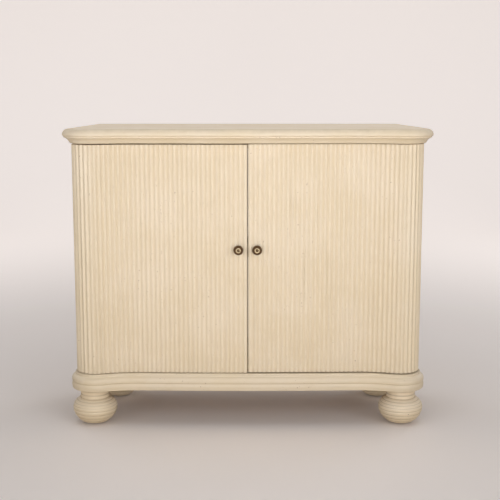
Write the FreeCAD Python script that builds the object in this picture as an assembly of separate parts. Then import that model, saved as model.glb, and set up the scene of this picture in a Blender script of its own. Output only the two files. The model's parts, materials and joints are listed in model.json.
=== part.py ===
import FreeCAD, Part
import collections
import math
import os

from FreeCAD import Vector

# A painted two-door buffet with a serpentine reeded front, sides that draw in towards the back,
# a moulded top and plinth, and bun feet.
# Millimetres. +Z is up, the front faces -Y, and the origin is on the floor under the middle of the top.

# Case
body_width = 1100.0             # across the reed crests of the two front corners
body_depth = 428.0              # from the front crests to the back of the case
side_taper = 51.0               # how far each side comes in on its way to the back
door_bay_height = 729.0         # from the plinth to the underside of the case top
panel_thickness = 20.0          # door panels and side panels
bottom_thickness = 18.0
back_thickness = 10.0
back_rebate = 11.0              # how far the back boards lap onto each side panel
back_board_count = 6
back_board_gap = 0.6
back_rail_height = 40.0
back_rail_thickness = 20.0

# Front plan line: a long bow, a hollow on each side of it and a round corner at each end
corner_radius = 64.0
hollow_radius = 390.0
hollow_recess = 22.0            # hollows behind the corner crests
bow_rise = 7.0                  # middle of the bow in front of the hollows

# Reeds
reed_pitch = 14.2
reed_height = 4.5
reed_gap = 0.2
reed_joint_margin = 5.0         # bare strip on each side of a hinge line
reed_back_margin = 6.0          # bare strip at the back of a side

# Top board and the bed moulding under it
top_thickness = 22.0
top_overhang = 28.0
top_back_overhang = 4.0
nose_lower_radius = 7.0
bed_height = 22.0
bed_projection = 21.0
bed_shares = (                  # (projection share, height share, bulge share) up the outer face
    (0.06, 0.00, 0.00),
    (0.14, 0.09, 0.10),
    (0.86, 0.80, -0.19),
    (1.00, 0.80, 0.00),
    (1.00, 1.00, 0.00),
)

# Plinth
plinth_height = 54.0
plinth_projection = 17.0
plinth_inset = 40.0             # from the reed crests to the inner face of the plinth
plinth_back_thickness = 30.0
plinth_shares = (               # (projection share, height share, bulge share) up the outer face
    (0.56, 0.00, 0.00),
    (0.92, 0.18, 0.20),
    (0.82, 0.40, 0.12),
    (0.90, 0.43, 0.00),
    (1.00, 0.54, 0.12),
    (0.50, 0.80, 0.17),
    (0.30, 0.89, -0.20),
    (0.30, 0.92, 0.00),
    (0.12, 1.00, 0.18),
)

# Bun feet, each turned with rings, on a bolt in a corner block
foot_height = 118.0
foot_radius = 67.5
foot_belly_height = 56.0        # height of the widest ring
foot_sole_radius = 20.0
foot_neck_radius = 44.0
foot_neck_height = 81.3         # where the bun meets the neck
foot_bead_height = 15.7         # ring round the foot of the neck
foot_ring_count = 9
foot_ring_bulge_share = 0.13
foot_neck_bulge_share = 0.05
foot_inset = 6.0                # belly inside the face of the plinth
foot_bolt_radius = 5.0
foot_bolt_depth = 42.0          # into the foot, and into the block
foot_block_half_width = 48.0
foot_block_height = 50.0

# Doors
meeting_gap = 3.0
door_return = 20.0              # straight stretch behind the corner
door_play = 5.0                 # gaps above and below a door together
left_door_lift = 1.5
right_door_lift = 3.0
door_stop_gap = 1.5             # door back to the edge of the bottom board
side_gap = 2.0                  # door edge to side panel edge

# Butt hinges, let into the edges of door and side
hinge_inset = 115.0             # middle of a hinge from the end of the door bay
leaf_height = 70.0
leaf_reach = 22.0               # from the pin to the inner edge of a leaf
leaf_thickness = 2.0
barrel_radius = 3.2
barrel_clearance = 0.4
middle_knuckle_share = 0.36
knuckle_play = 0.3
pin_radius = 1.6
pin_play = 0.05
pin_head_height = 2.5
leaf_screw_shares = (-0.36, 0.0, 0.36)

# Knobs
knob_x = 29.3
knob_rise = 400.0               # above the plinth
rose_radius = 11.0
rose_thickness = 4.0
rose_edge = 2.5                 # rounding of the rose's rim
knob_radius = 14.2
knob_neck_radius = 6.0
knob_length = 30.0              # from the reed crests to the tip
knob_head_length = 12.0
knob_rim_width = 6.0
knob_dish_depth = 3.0
knob_boss_radius = 4.5
knob_boss_rise = 0.8            # boss in front of the rim
knob_bolt_radius = 2.0
knob_bolt_grip = 12.0           # thread inside the knob
knob_bolt_head_radius = 4.5
knob_bolt_head_height = 2.5
knob_hole_clearance = 0.4

# Magnetic catches under the case top, one for each door
catch_x = 62.0
catch_width = 46.0
catch_depth = 14.0
catch_height = 16.0
catch_drop = 11.0               # middle of the poles below the case top
catch_air = 0.6                 # between the poles and the strike plate
pole_width = 20.0
pole_height = 8.0
pole_depth = 9.0
pole_reach = 1.2                # poles proud of the case
catch_screw_share = 0.36        # of the catch width, each side of its middle
strike_width = 34.0
strike_height = 13.0
strike_thickness = 1.5

# Shelf on two cleats
shelf_rise = 345.0              # underside above the bottom board
shelf_thickness = 20.0
shelf_setback = 4.0             # front edge behind the hinge line
shelf_play = 0.5
cleat_size = 20.0
shelf_screw_shares = (0.18, 0.5, 0.82)
cleat_screw_shares = (0.08, 0.34, 0.92)

# Countersunk wood screws, each kind by the radius of its shank and its length
screw_head_share = 2.0          # head radius, of the shank's
screw_head_height_share = 1.2   # head height, of the shank's radius
hinge_screw_radius = 1.6
hinge_screw_length = 20.0
strike_screw_radius = 1.5
strike_screw_length = 12.0
catch_screw_radius = 1.5
catch_screw_length = 30.0
shelf_screw_radius = 2.0
shelf_screw_length = 36.0
cleat_screw_radius = 2.0
cleat_screw_length = 32.0
back_screw_radius = 1.75
back_screw_length = 26.0
back_screw_shares = (0.2, 0.8)  # across a board
top_screw_radius = 2.0
top_screw_length = 36.0
case_screw_radius = 2.25
case_screw_length = 62.0
top_screw_x_shares = (-0.80, -0.30, 0.30, 0.80)
top_screw_y_shares = (0.28, 0.88)
case_screw_shares = (0.12, 0.50, 0.88)

# Fits
glue_line = 0.15
screw_fit = 0.05
mortise_fit = 0.1
overrun = 5.0                   # cutting tools past a face

# Levels and lines that follow from the sizes above
UP = Vector(0, 0, 1)
RIGHT = Vector(1, 0, 0)
BACK = Vector(0, 1, 0)
ORIGIN = Vector(0, 0, 0)
overall_depth = top_overhang + body_depth + top_back_overhang
crest_y = top_overhang - overall_depth / 2
case_back_y = crest_y + body_depth
top_back_y = case_back_y + top_back_overhang
plinth_top = foot_height + plinth_height
bay_top = plinth_top + door_bay_height
bed_top = bay_top + bed_height
bottom_top = plinth_top + bottom_thickness
door_height = door_bay_height - door_play
half_width = body_width / 2
reed_base = -reed_height
panel_face = reed_base - glue_line
panel_back = panel_face - panel_thickness
door_edge_y = crest_y + corner_radius + door_return
hinge_y = door_edge_y + side_gap / 2
side_front_y = door_edge_y + side_gap
back_board_y = case_back_y - back_thickness
shelf_bottom = bottom_top + shelf_rise
hinge_levels = (plinth_top + hinge_inset, bay_top - hinge_inset)
quarter_bulge_share = math.tan(math.pi / 8) / 2

side_angle = math.atan(side_taper / (body_depth - corner_radius))
SIDE_OUT = Vector(math.cos(side_angle), math.sin(side_angle), 0)
SIDE_RUN = Vector(-math.sin(side_angle), math.cos(side_angle), 0)

Arc = collections.namedtuple("Arc", "centre radius bulge start end")


def plan_arcs():
    """The tangent arcs of the right half of the front, from the middle to the side."""
    corner_centre = Vector(half_width - corner_radius, crest_y + corner_radius, 0)
    reach = hollow_radius + corner_radius
    run = math.sqrt(hollow_recess * (2 * reach - hollow_recess))
    hollow_centre = Vector(corner_centre.x - run, crest_y + hollow_recess - hollow_radius, 0)
    spread = (hollow_centre.x ** 2 + bow_rise ** 2) / (2 * bow_rise)
    bow_radius = spread - hollow_radius
    bow_centre = Vector(0, crest_y + hollow_recess - bow_rise + bow_radius, 0)
    to_hollow = math.atan2(hollow_centre.y - bow_centre.y, hollow_centre.x - bow_centre.x)
    to_corner = math.atan2(corner_centre.y - hollow_centre.y, corner_centre.x - hollow_centre.x)
    bow = Arc(bow_centre, bow_radius, 1, -math.pi / 2, to_hollow)
    hollow = Arc(hollow_centre, hollow_radius, -1, to_hollow + math.pi, to_corner)
    corner = Arc(corner_centre, corner_radius, 1, to_corner - math.pi, side_angle)
    return bow, hollow, corner


ARCS = plan_arcs()
BOW, HOLLOW, CORNER = ARCS


# Plan line

def radius_at(arc, offset):
    """Radius of an arc when the plan line is offset outwards."""
    return arc.radius + arc.bulge * offset


def arc_point(arc, offset, angle):
    radial = Vector(math.cos(angle), math.sin(angle), 0)
    return arc.centre + radial * radius_at(arc, offset)


def arc_edge(arc, offset, start, end):
    middle = (start + end) / 2
    points = [arc_point(arc, offset, angle) for angle in (start, middle, end)]
    return Part.Arc(*points).toShape()


def bow_angle(offset, x):
    """Angle on the bow at a distance right of the middle."""
    return BOW.start + math.asin(x / radius_at(BOW, offset))


def front_point(offset, x):
    return arc_point(BOW, offset, bow_angle(offset, x))


def front_distance(offset, x):
    """Distance along the plan line to a place on the bow."""
    return radius_at(BOW, offset) * (bow_angle(offset, x) - BOW.start)


def side_start(offset):
    """Where the corner runs into the right side."""
    return arc_point(CORNER, offset, CORNER.end)


def side_run(offset, y):
    """Distance along the right side to a place on it."""
    return (y - side_start(offset).y) / SIDE_RUN.y


def side_point(offset, y):
    return side_start(offset) + SIDE_RUN * side_run(offset, y)


def line(start, end):
    return Part.LineSegment(start, end).toShape()


def polygon(points):
    """Edges of a closed outline."""
    return [line(start, end) for start, end in zip(points, points[1:] + points[:1])]


def half_line(offset, x_start, y_end):
    """Edges of the right half of the plan line, from x_start on the bow to y_end on the side."""
    return [
        arc_edge(BOW, offset, bow_angle(offset, x_start), BOW.end),
        arc_edge(HOLLOW, offset, HOLLOW.start, HOLLOW.end),
        arc_edge(CORNER, offset, CORNER.start, CORNER.end),
        line(side_start(offset), side_point(offset, y_end)),
    ]


def spot(offset, distance):
    """Point and outward direction on the plan line, a distance along it from the middle."""
    for arc in ARCS:
        radius = radius_at(arc, offset)
        length = radius * abs(arc.end - arc.start)
        if distance <= length:
            angle = arc.start + math.copysign(distance / radius, arc.end - arc.start)
            radial = Vector(math.cos(angle), math.sin(angle), 0)
            return arc.centre + radial * radius, radial * arc.bulge
        distance -= length
    return side_start(offset) + SIDE_RUN * distance, SIDE_OUT


def side_distance(offset, y):
    """Distance along the plan line to a place on the side."""
    lengths = [radius_at(arc, offset) * abs(arc.end - arc.start) for arc in ARCS]
    return sum(lengths) + side_run(offset, y)


# Solids

def raised(edges, bottom, height):
    """A solid on the closed outline of the edges."""
    wire = Part.Wire(Part.__sortEdges__(edges))
    wire.translate(UP * bottom)
    return Part.Face(wire).extrude(UP * height)


def mirrored(shape):
    return shape.mirror(ORIGIN, RIGHT)


def both_halves(half):
    return half.fuse(mirrored(half)).removeSplitter()


def plan_slab(offset, y_end, bottom, height, corners=()):
    """A board whose front follows the plan line; corners are its further points on the right."""
    points = [side_point(offset, y_end)]
    points += [Vector(x, y, 0) for x, y in corners]
    points += [Vector(0, points[-1].y, 0), front_point(offset, 0)]
    edges = half_line(offset, 0, y_end)
    edges += [line(start, end) for start, end in zip(points, points[1:])]
    return both_halves(raised(edges, bottom, height))


def profile_face(start, runs, place):
    """A face bounded by runs of (offset, height, bulge share), set in space by place."""
    edges = []
    here = start
    for offset, height, bulge in runs:
        along = (offset - here[0], height - here[1])
        ends = [place(*here), place(offset, height)]
        if bulge:
            via = (here[0] + along[0] / 2 + along[1] * bulge, here[1] + along[1] / 2 - along[0] * bulge)
            edges.append(Part.Arc(ends[0], place(*via), ends[1]).toShape())
        else:
            edges.append(line(*ends))
        here = (offset, height)
    edges.append(line(place(*here), place(*start)))
    return Part.Face(Part.Wire(edges))


def swept_front(start, runs):
    """A moulding that follows the front from corner to corner."""
    stretches = []
    for arc in ARCS:
        radial = Vector(math.cos(arc.start), math.sin(arc.start), 0)

        def place(offset, height):
            return arc.centre + radial * radius_at(arc, offset) + UP * height

        turn = math.degrees(arc.end - arc.start)
        stretches.append(profile_face(start, runs, place).revolve(arc.centre, UP, turn))
    return both_halves(stretches[0].multiFuse(stretches[1:]))


def box(x_range, y_range, z_range):
    low = Vector(min(x_range), min(y_range), min(z_range))
    high = Vector(max(x_range), max(y_range), max(z_range))
    size = high - low
    return Part.makeBox(size.x, size.y, size.z, low)


def swept_side(start, runs, y_end):
    """The same moulding along the right side, cut off square at the back."""
    def place(offset, height):
        return side_start(offset) + UP * height

    length = (y_end - CORNER.centre.y) / SIDE_RUN.y
    moulding = profile_face(start, runs, place).extrude(SIDE_RUN * length)
    behind = box((0, body_width), (y_end, y_end + body_depth), (0, bed_top + 2 * top_thickness))
    return moulding.cut(behind)


def bay_slab(offset, y_range, bottom, height):
    """A board from side to side, its ends cut to follow the sides."""
    right = [side_point(offset, y) for y in y_range]
    left = [Vector(-point.x, point.y, 0) for point in reversed(right)]
    return raised(polygon(right + left), bottom, height)


def side_strip(inner, outer, y_range, bottom, height):
    """A board along the right side between two offsets."""
    points = [side_point(outer, y) for y in y_range]
    points += [side_point(inner, y) for y in reversed(y_range)]
    return raised(polygon(points), bottom, height)


def turned(start, runs):
    """A solid of revolution about Z from runs of (radius, height, bulge share)."""
    face = profile_face(start, runs, lambda radius, height: Vector(radius, 0, height))
    return face.revolve(ORIGIN, UP, 360)


def dome_share(rise, radius):
    """Bulge share of the arc from the rim of a round dome to its top."""
    return math.tan(math.atan(rise / radius) / 2) / 2


def aimed(shape, position, direction):
    """The shape moved to position with its own +Z turned to direction."""
    moved = shape.copy()
    moved.Placement = FreeCAD.Placement(position, FreeCAD.Rotation(UP, direction))
    return moved


def wood_screw(radius, length, fit=0):
    """A countersunk screw along +Z, its head flush with the origin; fit widens it for its hole."""
    shank = radius + fit
    point = length + fit
    return turned((0, 0), [
        (radius * screw_head_share + fit, 0, 0),
        (shank, radius * screw_head_height_share, 0),
        (shank, point - radius, 0),
        (0, point, 0),
    ])


def screws_and_holes(radius, length, places):
    """Screws at each (position, direction), and the holes they sit in."""
    screw = wood_screw(radius, length)
    hole = wood_screw(radius, length, screw_fit)
    screws = [aimed(screw, position, direction) for position, direction in places]
    holes = [aimed(hole, position, direction) for position, direction in places]
    return screws, holes


def cut_from(shape, tools):
    """The shape less those tools that reach it."""
    near = [tool for tool in tools if tool.BoundBox.intersect(shape.BoundBox)]
    return shape.cut(near) if near else shape


def shares_of(low, high, shares):
    return [low + (high - low) * share for share in shares]


parts = {}


# Top board and bed moulding

def scaled_runs(shares, projection, bottom, height):
    return [(projection * out, bottom + height * up, bulge) for out, up, bulge in shares]


def make_top():
    top_level = bed_top + top_thickness
    nose_root = top_overhang - (top_thickness - nose_lower_radius)
    nose_start = (nose_root, bed_top)
    nose_runs = [
        (top_overhang - nose_lower_radius, bed_top, 0),
        (top_overhang, bed_top + nose_lower_radius, quarter_bulge_share),
        (nose_root, top_level, quarter_bulge_share),
    ]
    side_nose = swept_side(nose_start, nose_runs, top_back_y)
    slab = plan_slab(nose_root, top_back_y, bed_top, top_thickness)
    nose = [swept_front(nose_start, nose_runs), side_nose, mirrored(side_nose)]
    parts["top_board"] = slab.multiFuse(nose).removeSplitter()

    bed_face = panel_face + glue_line
    bed_start = (bed_face, bay_top)
    bed_runs = scaled_runs(bed_shares, bed_projection, bay_top, bed_height)
    bed_runs.append((bed_face, bed_top, 0))
    side_bed = swept_side(bed_start, bed_runs, case_back_y)
    parts["bed_moulding_front"] = swept_front(bed_start, bed_runs)
    parts["bed_moulding_right"] = side_bed
    parts["bed_moulding_left"] = mirrored(side_bed)


# Plinth and feet

def make_plinth():
    start = (-plinth_inset, foot_height)
    runs = scaled_runs(plinth_shares, plinth_projection, foot_height, plinth_height)
    runs.append((-plinth_inset, plinth_top, 0))
    side = swept_side(start, runs, case_back_y)
    parts["plinth_front"] = swept_front(start, runs)
    parts["plinth_right"] = side
    parts["plinth_left"] = mirrored(side)
    rail_y = (case_back_y - plinth_back_thickness, case_back_y)
    parts["plinth_back"] = bay_slab(-plinth_inset - glue_line, rail_y, foot_height, plinth_height)


def foot_runs():
    """The outline of a bun foot from the rim of its sole up to its top."""
    low = -math.acos(foot_sole_radius / foot_radius)
    high = math.acos(foot_neck_radius / foot_radius)
    rise_below = foot_belly_height / math.sin(-low)
    rise_above = (foot_neck_height - foot_belly_height) / math.sin(high)
    runs = [(foot_sole_radius, 0, 0)]
    for ring in range(1, foot_ring_count + 1):
        angle = low + (high - low) * ring / foot_ring_count
        rise = rise_above if angle > 0 else rise_below
        height = foot_belly_height + rise * math.sin(angle)
        bulge = foot_ring_bulge_share if ring > 1 else 0
        runs.append((foot_radius * math.cos(angle), height, bulge))
    runs.append((foot_neck_radius, foot_neck_height + foot_bead_height, foot_neck_bulge_share))
    runs.append((foot_neck_radius, foot_height, foot_neck_bulge_share))
    runs.append((0, foot_height, 0))
    return runs


def make_feet():
    foot = turned((0, 0), foot_runs())
    bolt = Part.makeCylinder(foot_bolt_radius, 2 * foot_bolt_depth, UP * (foot_height - foot_bolt_depth))
    hole = Part.makeCylinder(
        foot_bolt_radius + screw_fit,
        2 * (foot_bolt_depth + screw_fit),
        UP * (foot_height - foot_bolt_depth - screw_fit),
    )
    foot = foot.cut(hole)
    room = plan_slab(
        -plinth_inset - glue_line,
        case_back_y - plinth_back_thickness - glue_line,
        foot_height,
        foot_block_height,
    )
    inset = foot_radius + foot_inset
    front = Vector(half_width + plinth_projection - inset, crest_y - plinth_projection + inset, 0)
    back = side_point(plinth_projection - inset, case_back_y - inset)
    bolts = []
    for row, right in (("front", front), ("back", back)):
        for side, x in (("left", -right.x), ("right", right.x)):
            y = right.y
            place = Vector(x, y, 0)
            block = room.common(box(
                (x - foot_block_half_width, x + foot_block_half_width),
                (y - foot_block_half_width, y + foot_block_half_width),
                (foot_height, foot_height + foot_block_height),
            ))
            parts[f"{row}_{side}_foot"] = foot.translated(place)
            parts[f"{row}_{side}_foot_block"] = block.cut(hole.translated(place))
            bolts.append(bolt.translated(place))
    parts["foot_bolts"] = Part.makeCompound(bolts)


# Reeds

def reed(distance, width, bottom, height):
    """One half-round bead along the plan line, with a back that follows the panel."""
    start = spot(reed_base, distance - width / 2)[0]
    middle, outward = spot(reed_base, distance)
    end = spot(reed_base, distance + width / 2)[0]
    crest = middle + outward * reed_height
    edges = [Part.Arc(start, crest, end).toShape(), line(end, middle), line(middle, start)]
    return raised(edges, bottom, height)


def reed_row(first, last, bottom, height):
    """Reeds side by side from one place on the plan line to another."""
    count = int((last - first) // reed_pitch)
    pitch = (last - first) / count
    middles = [first + pitch * (2 * place + 1) / 2 for place in range(count)]
    return [reed(middle, pitch - reed_gap, bottom, height) for middle in middles]


# Hinges

def knuckle_spans():
    """Height ranges of the outer pair of knuckles and of the middle one."""
    half = leaf_height / 2
    middle = half * middle_knuckle_share
    return [(-half, -middle), (middle, half)], [(-middle + knuckle_play, middle - knuckle_play)]


def hinge_leaf(spans, towards):
    """A leaf whose pin stands at the origin; towards is the way into its panel along Y."""
    inner = towards * side_gap / 2
    outer = towards * (side_gap / 2 + leaf_thickness)
    plate_edge = -barrel_radius - barrel_clearance
    leaf = box((-leaf_reach, plate_edge), (inner, outer), (-leaf_height / 2, leaf_height / 2))
    for low, high in spans:
        knuckle = Part.makeCylinder(barrel_radius, high - low, UP * low)
        web = box((plate_edge, 0), (inner, outer), (low, high))
        leaf = leaf.fuse([web, knuckle])
    bore = Part.makeCylinder(pin_radius + pin_play, 2 * leaf_height, UP * -leaf_height)
    return leaf.cut(bore).removeSplitter()


def hinge_pin():
    half = leaf_height / 2
    pin = Part.makeCylinder(pin_radius, leaf_height, UP * -half)
    top = Part.makeCylinder(barrel_radius, pin_head_height, UP * half)
    return pin.fuse([top, top.mirror(ORIGIN, UP)])


def leaf_screw_places(towards):
    """Positions and directions of a leaf's screws, about its pin."""
    x = -(leaf_reach + barrel_radius) / 2
    y = towards * side_gap / 2
    return [(Vector(x, y, leaf_height * share), BACK * towards) for share in leaf_screw_shares]


def mortise(towards):
    """The recess for a leaf, about its pin."""
    reach = (-leaf_reach - mortise_fit, overrun)
    depth = (0, towards * (side_gap / 2 + leaf_thickness))
    half = leaf_height / 2 + mortise_fit
    return box(reach, depth, (-half, half))


def at_hinges(shape):
    """Copies of a shape made about a pin, at both hinges of the right side."""
    pin = side_point(0, hinge_y)
    return [shape.translated(pin + UP * level) for level in hinge_levels]


def hinge_set(towards, spans):
    """Leaves and screws of one panel, and the tools that let them into it."""
    screws, holes = screws_and_holes(hinge_screw_radius, hinge_screw_length, leaf_screw_places(towards))
    leaf = hinge_leaf(spans, towards).cut(holes)
    fixed = [copy for screw in screws for copy in at_hinges(screw)]
    tools = [copy for hole in holes + [mortise(towards)] for copy in at_hinges(hole)]
    return at_hinges(leaf), fixed, tools


# Doors

def knob_set(level):
    """Rose, knob and bolt of the right door, and the hole for the bolt."""
    forward = BACK * -1
    seat = Vector(knob_x, front_point(0, 0).y, level)
    inside = Vector(knob_x, front_point(panel_back, knob_x + knob_bolt_head_radius).y, level)
    bore = knob_bolt_radius + screw_fit
    rose = turned((bore, 0), [
        (rose_radius, 0, 0),
        (rose_radius - rose_edge, rose_thickness, quarter_bulge_share),
        (bore, rose_thickness, 0),
    ])
    head_back = knob_length - knob_head_length
    rim_top = knob_length - knob_boss_rise
    dish_bottom = rim_top - knob_dish_depth
    socket = rose_thickness + knob_bolt_grip
    knob = turned((bore, rose_thickness), [
        (knob_neck_radius, rose_thickness, 0),
        (knob_radius, head_back, -quarter_bulge_share),
        (knob_radius - knob_rim_width / 2, rim_top, quarter_bulge_share),
        (knob_radius - knob_rim_width, dish_bottom, quarter_bulge_share / 2),
        (knob_boss_radius, dish_bottom, 0),
        (0, knob_length, dome_share(knob_length - dish_bottom, knob_boss_radius)),
        (0, socket, 0),
        (bore, socket, 0),
    ])
    reach = inside.y - seat.y
    bolt_head = Part.makeCylinder(knob_bolt_head_radius, knob_bolt_head_height, UP * -knob_bolt_head_height)
    bolt = Part.makeCylinder(knob_bolt_radius, reach + socket - screw_fit).fuse(bolt_head)
    hole = Part.makeCylinder(knob_bolt_radius + knob_hole_clearance, reach + 2 * overrun, UP * -overrun)
    pieces = {
        "knob_rose": aimed(rose, seat, forward),
        "knob": aimed(knob, seat, forward),
        "knob_bolt": aimed(bolt, inside, forward),
    }
    return pieces, aimed(hole, inside, forward)


def strike_y():
    """Face of the door that the strike plate lies on, at the plate's far end."""
    return front_point(panel_back, catch_x + strike_width / 2).y + glue_line


def make_door(side, lift):
    """One door with all that moves with it, made on the right and mirrored for the left."""
    bottom = plinth_top + lift
    x_start = meeting_gap / 2
    edges = half_line(panel_face, x_start, door_edge_y)
    edges += half_line(panel_back, x_start, door_edge_y)
    edges.append(line(side_point(panel_face, door_edge_y), side_point(panel_back, door_edge_y)))
    edges.append(line(front_point(panel_face, x_start), front_point(panel_back, x_start)))
    panel = raised(edges, bottom, door_height)

    pieces, knob_hole = knob_set(plinth_top + knob_rise)
    leaves, screws, tools = hinge_set(-1, knuckle_spans()[1])
    strike_back = strike_y() + strike_thickness
    level = bay_top - catch_drop
    strike_place = [(Vector(catch_x, strike_back, level), BACK * -1)]
    strike_screws, strike_holes = screws_and_holes(strike_screw_radius, strike_screw_length, strike_place)
    strike = box(
        (catch_x - strike_width / 2, catch_x + strike_width / 2),
        (strike_y(), strike_back),
        (level - strike_height / 2, level + strike_height / 2),
    )
    first = front_distance(reed_base, x_start)
    last = side_distance(reed_base, hinge_y - reed_joint_margin)
    reeds = [cut_from(bead, [knob_hole]) for bead in reed_row(first, last, bottom, door_height)]
    pieces["door_panel"] = cut_from(panel, tools + strike_holes + [knob_hole])
    pieces["door_reeds"] = Part.makeCompound(reeds)
    pieces["door_hinge_leaves"] = Part.makeCompound(leaves)
    pieces["door_screws"] = Part.makeCompound(screws + strike_screws)
    pieces["strike_plate"] = strike.cut(strike_holes)
    for name, shape in pieces.items():
        parts[f"{side}_{name}"] = shape if side == "right" else mirrored(shape)


# Catches

def make_catches():
    """Catch cases, their poles and screws; returns the screw holes for the case top."""
    pole_y = strike_y() + strike_thickness + catch_air
    front = pole_y + pole_reach
    level = bay_top - catch_drop
    case = box(
        (catch_x - catch_width / 2, catch_x + catch_width / 2),
        (front, front + catch_depth),
        (bay_top - catch_height, bay_top),
    )
    pole = box(
        (catch_x - pole_width / 2, catch_x + pole_width / 2),
        (pole_y, pole_y + pole_depth),
        (level - pole_height / 2, level + pole_height / 2),
    )
    pocket = box(
        (catch_x - pole_width / 2 - mortise_fit, catch_x + pole_width / 2 + mortise_fit),
        (pole_y, pole_y + pole_depth),
        (level - pole_height / 2 - mortise_fit, level + pole_height / 2 + mortise_fit),
    )
    reach = catch_width * catch_screw_share
    seat = Vector(catch_x, front + catch_depth / 2, bay_top - catch_height)
    places = [(seat - RIGHT * reach, UP), (seat + RIGHT * reach, UP)]
    screws, holes = screws_and_holes(catch_screw_radius, catch_screw_length, places)
    right = case.cut([pocket] + holes)
    parts["right_catch_case"] = right
    parts["left_catch_case"] = mirrored(right)
    parts["catch_poles"] = Part.makeCompound([pole, mirrored(pole)])
    parts["catch_screws"] = Part.makeCompound(screws + [mirrored(screw) for screw in screws])
    return holes + [mirrored(hole) for hole in holes]


# Case

def make_back():
    """Back boards and their screws; returns the boards' screw holes."""
    span = 2 * (side_point(panel_back, back_board_y).x + back_rebate)
    pitch = (span + back_board_gap) / back_board_count
    width = pitch - back_board_gap
    levels = (plinth_top + bottom_thickness / 2, bay_top - back_rail_height / 2)
    boards = []
    places = []
    for number in range(back_board_count):
        left = -span / 2 + pitch * number
        boards.append(box((left, left + width), (back_board_y, case_back_y), (plinth_top, bay_top)))
        for share in back_screw_shares:
            places += [(Vector(left + width * share, case_back_y, level), BACK * -1) for level in levels]
    screws, holes = screws_and_holes(back_screw_radius, back_screw_length, places)
    parts["back_boards"] = Part.makeCompound([cut_from(board, holes) for board in boards])
    parts["back_board_screws"] = Part.makeCompound(screws)
    return holes


def make_shelf():
    """Shelf, cleats and screws; returns the holes of the cleats' screws in the right side."""
    y_range = (side_front_y + shelf_setback, back_board_y - shelf_play)
    shelf_top = shelf_bottom + shelf_thickness
    shelf = bay_slab(panel_back - shelf_play, y_range, shelf_bottom, shelf_thickness)
    cleat_face = panel_back - cleat_size
    cleat = side_strip(cleat_face, panel_back, y_range, shelf_bottom - cleat_size, cleat_size)
    cleat_middle = panel_back - cleat_size / 2
    down_y = shares_of(*y_range, shelf_screw_shares)
    down = [(side_point(cleat_middle, y) + UP * shelf_top, UP * -1) for y in down_y]
    level = UP * (shelf_bottom - cleat_size / 2)
    across_y = shares_of(*y_range, cleat_screw_shares)
    across = [(side_point(cleat_face, y) + level, SIDE_OUT) for y in across_y]
    shelf_screws, shelf_holes = screws_and_holes(shelf_screw_radius, shelf_screw_length, down)
    cleat_screws, cleat_holes = screws_and_holes(cleat_screw_radius, cleat_screw_length, across)
    cleat = cut_from(cleat, shelf_holes + cleat_holes)
    parts["shelf"] = shelf.cut(shelf_holes + [mirrored(hole) for hole in shelf_holes])
    parts["right_shelf_cleat"] = cleat
    parts["left_shelf_cleat"] = mirrored(cleat)
    parts["shelf_screws"] = Part.makeCompound(shelf_screws + [mirrored(screw) for screw in shelf_screws])
    parts["cleat_screws"] = Part.makeCompound(cleat_screws + [mirrored(screw) for screw in cleat_screws])
    return cleat_holes


def make_case():
    catch_holes = make_catches()
    back_holes = make_back()
    cleat_holes = make_shelf()

    top_places = []
    for y in shares_of(crest_y, case_back_y, top_screw_y_shares):
        top_places += [(Vector(half_width * share, y, bay_top), UP) for share in top_screw_x_shares]
    top_screws, top_holes = screws_and_holes(top_screw_radius, top_screw_length, top_places)
    side_middle = (panel_face + panel_back) / 2
    case_places = []
    for y in shares_of(side_front_y, case_back_y, case_screw_shares):
        x = side_point(side_middle, y).x
        case_places += [(Vector(place, y, bed_top), UP * -1) for place in (-x, x)]
    case_screws, case_holes = screws_and_holes(case_screw_radius, case_screw_length, case_places)

    leaves, hinge_screws, hinge_tools = hinge_set(1, knuckle_spans()[0])
    pins = at_hinges(hinge_pin())
    side = side_strip(panel_back, panel_face, (side_front_y, case_back_y), plinth_top, door_bay_height)
    back_inner_x = side_point(panel_back, back_board_y).x
    rebate = box(
        (back_inner_x - 2 * back_rebate, back_inner_x + back_rebate),
        (back_board_y, case_back_y + overrun),
        (plinth_top - overrun, bay_top + overrun),
    )
    side = cut_from(side, [rebate] + hinge_tools + cleat_holes + case_holes)
    reeds = Part.makeCompound(reed_row(
        side_distance(reed_base, hinge_y + reed_joint_margin),
        side_distance(reed_base, case_back_y - reed_back_margin),
        plinth_top,
        door_bay_height,
    ))
    pieces = {
        "side_panel": side,
        "side_reeds": reeds,
        "hinge_leaves": Part.makeCompound(leaves),
        "hinge_pins": Part.makeCompound(pins),
    }
    for name, shape in pieces.items():
        parts[f"right_{name}"] = shape
        parts[f"left_{name}"] = mirrored(shape)

    rail_y = (back_board_y - back_rail_thickness, back_board_y)
    rail = bay_slab(panel_back, rail_y, bay_top - back_rail_height, back_rail_height)
    bottom = plan_slab(
        panel_back - door_stop_gap,
        side_front_y,
        plinth_top,
        bottom_thickness,
        [(side_point(panel_back, y).x, y) for y in (side_front_y, back_board_y)],
    )
    case_top = plan_slab(panel_face, case_back_y, bay_top, bed_height)
    parts["case_top"] = cut_from(case_top, catch_holes + top_holes + case_holes)
    parts["top_board"] = cut_from(parts["top_board"], top_holes)
    parts["bottom_board"] = cut_from(bottom, back_holes)
    parts["back_rail"] = cut_from(rail, back_holes)
    parts["top_screws"] = Part.makeCompound(top_screws)
    parts["case_screws"] = Part.makeCompound(case_screws)
    parts["hinge_screws"] = Part.makeCompound(hinge_screws + [mirrored(screw) for screw in hinge_screws])


make_top()
make_plinth()
make_feet()
make_case()
make_door("left", left_door_lift)
make_door("right", right_door_lift)

os.makedirs("parts", exist_ok=True)
for name, shape in parts.items():
    shape.exportStep(f"parts/{name}.step")
    print(name, len(shape.Solids), shape.isValid(), round(shape.Volume))
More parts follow.
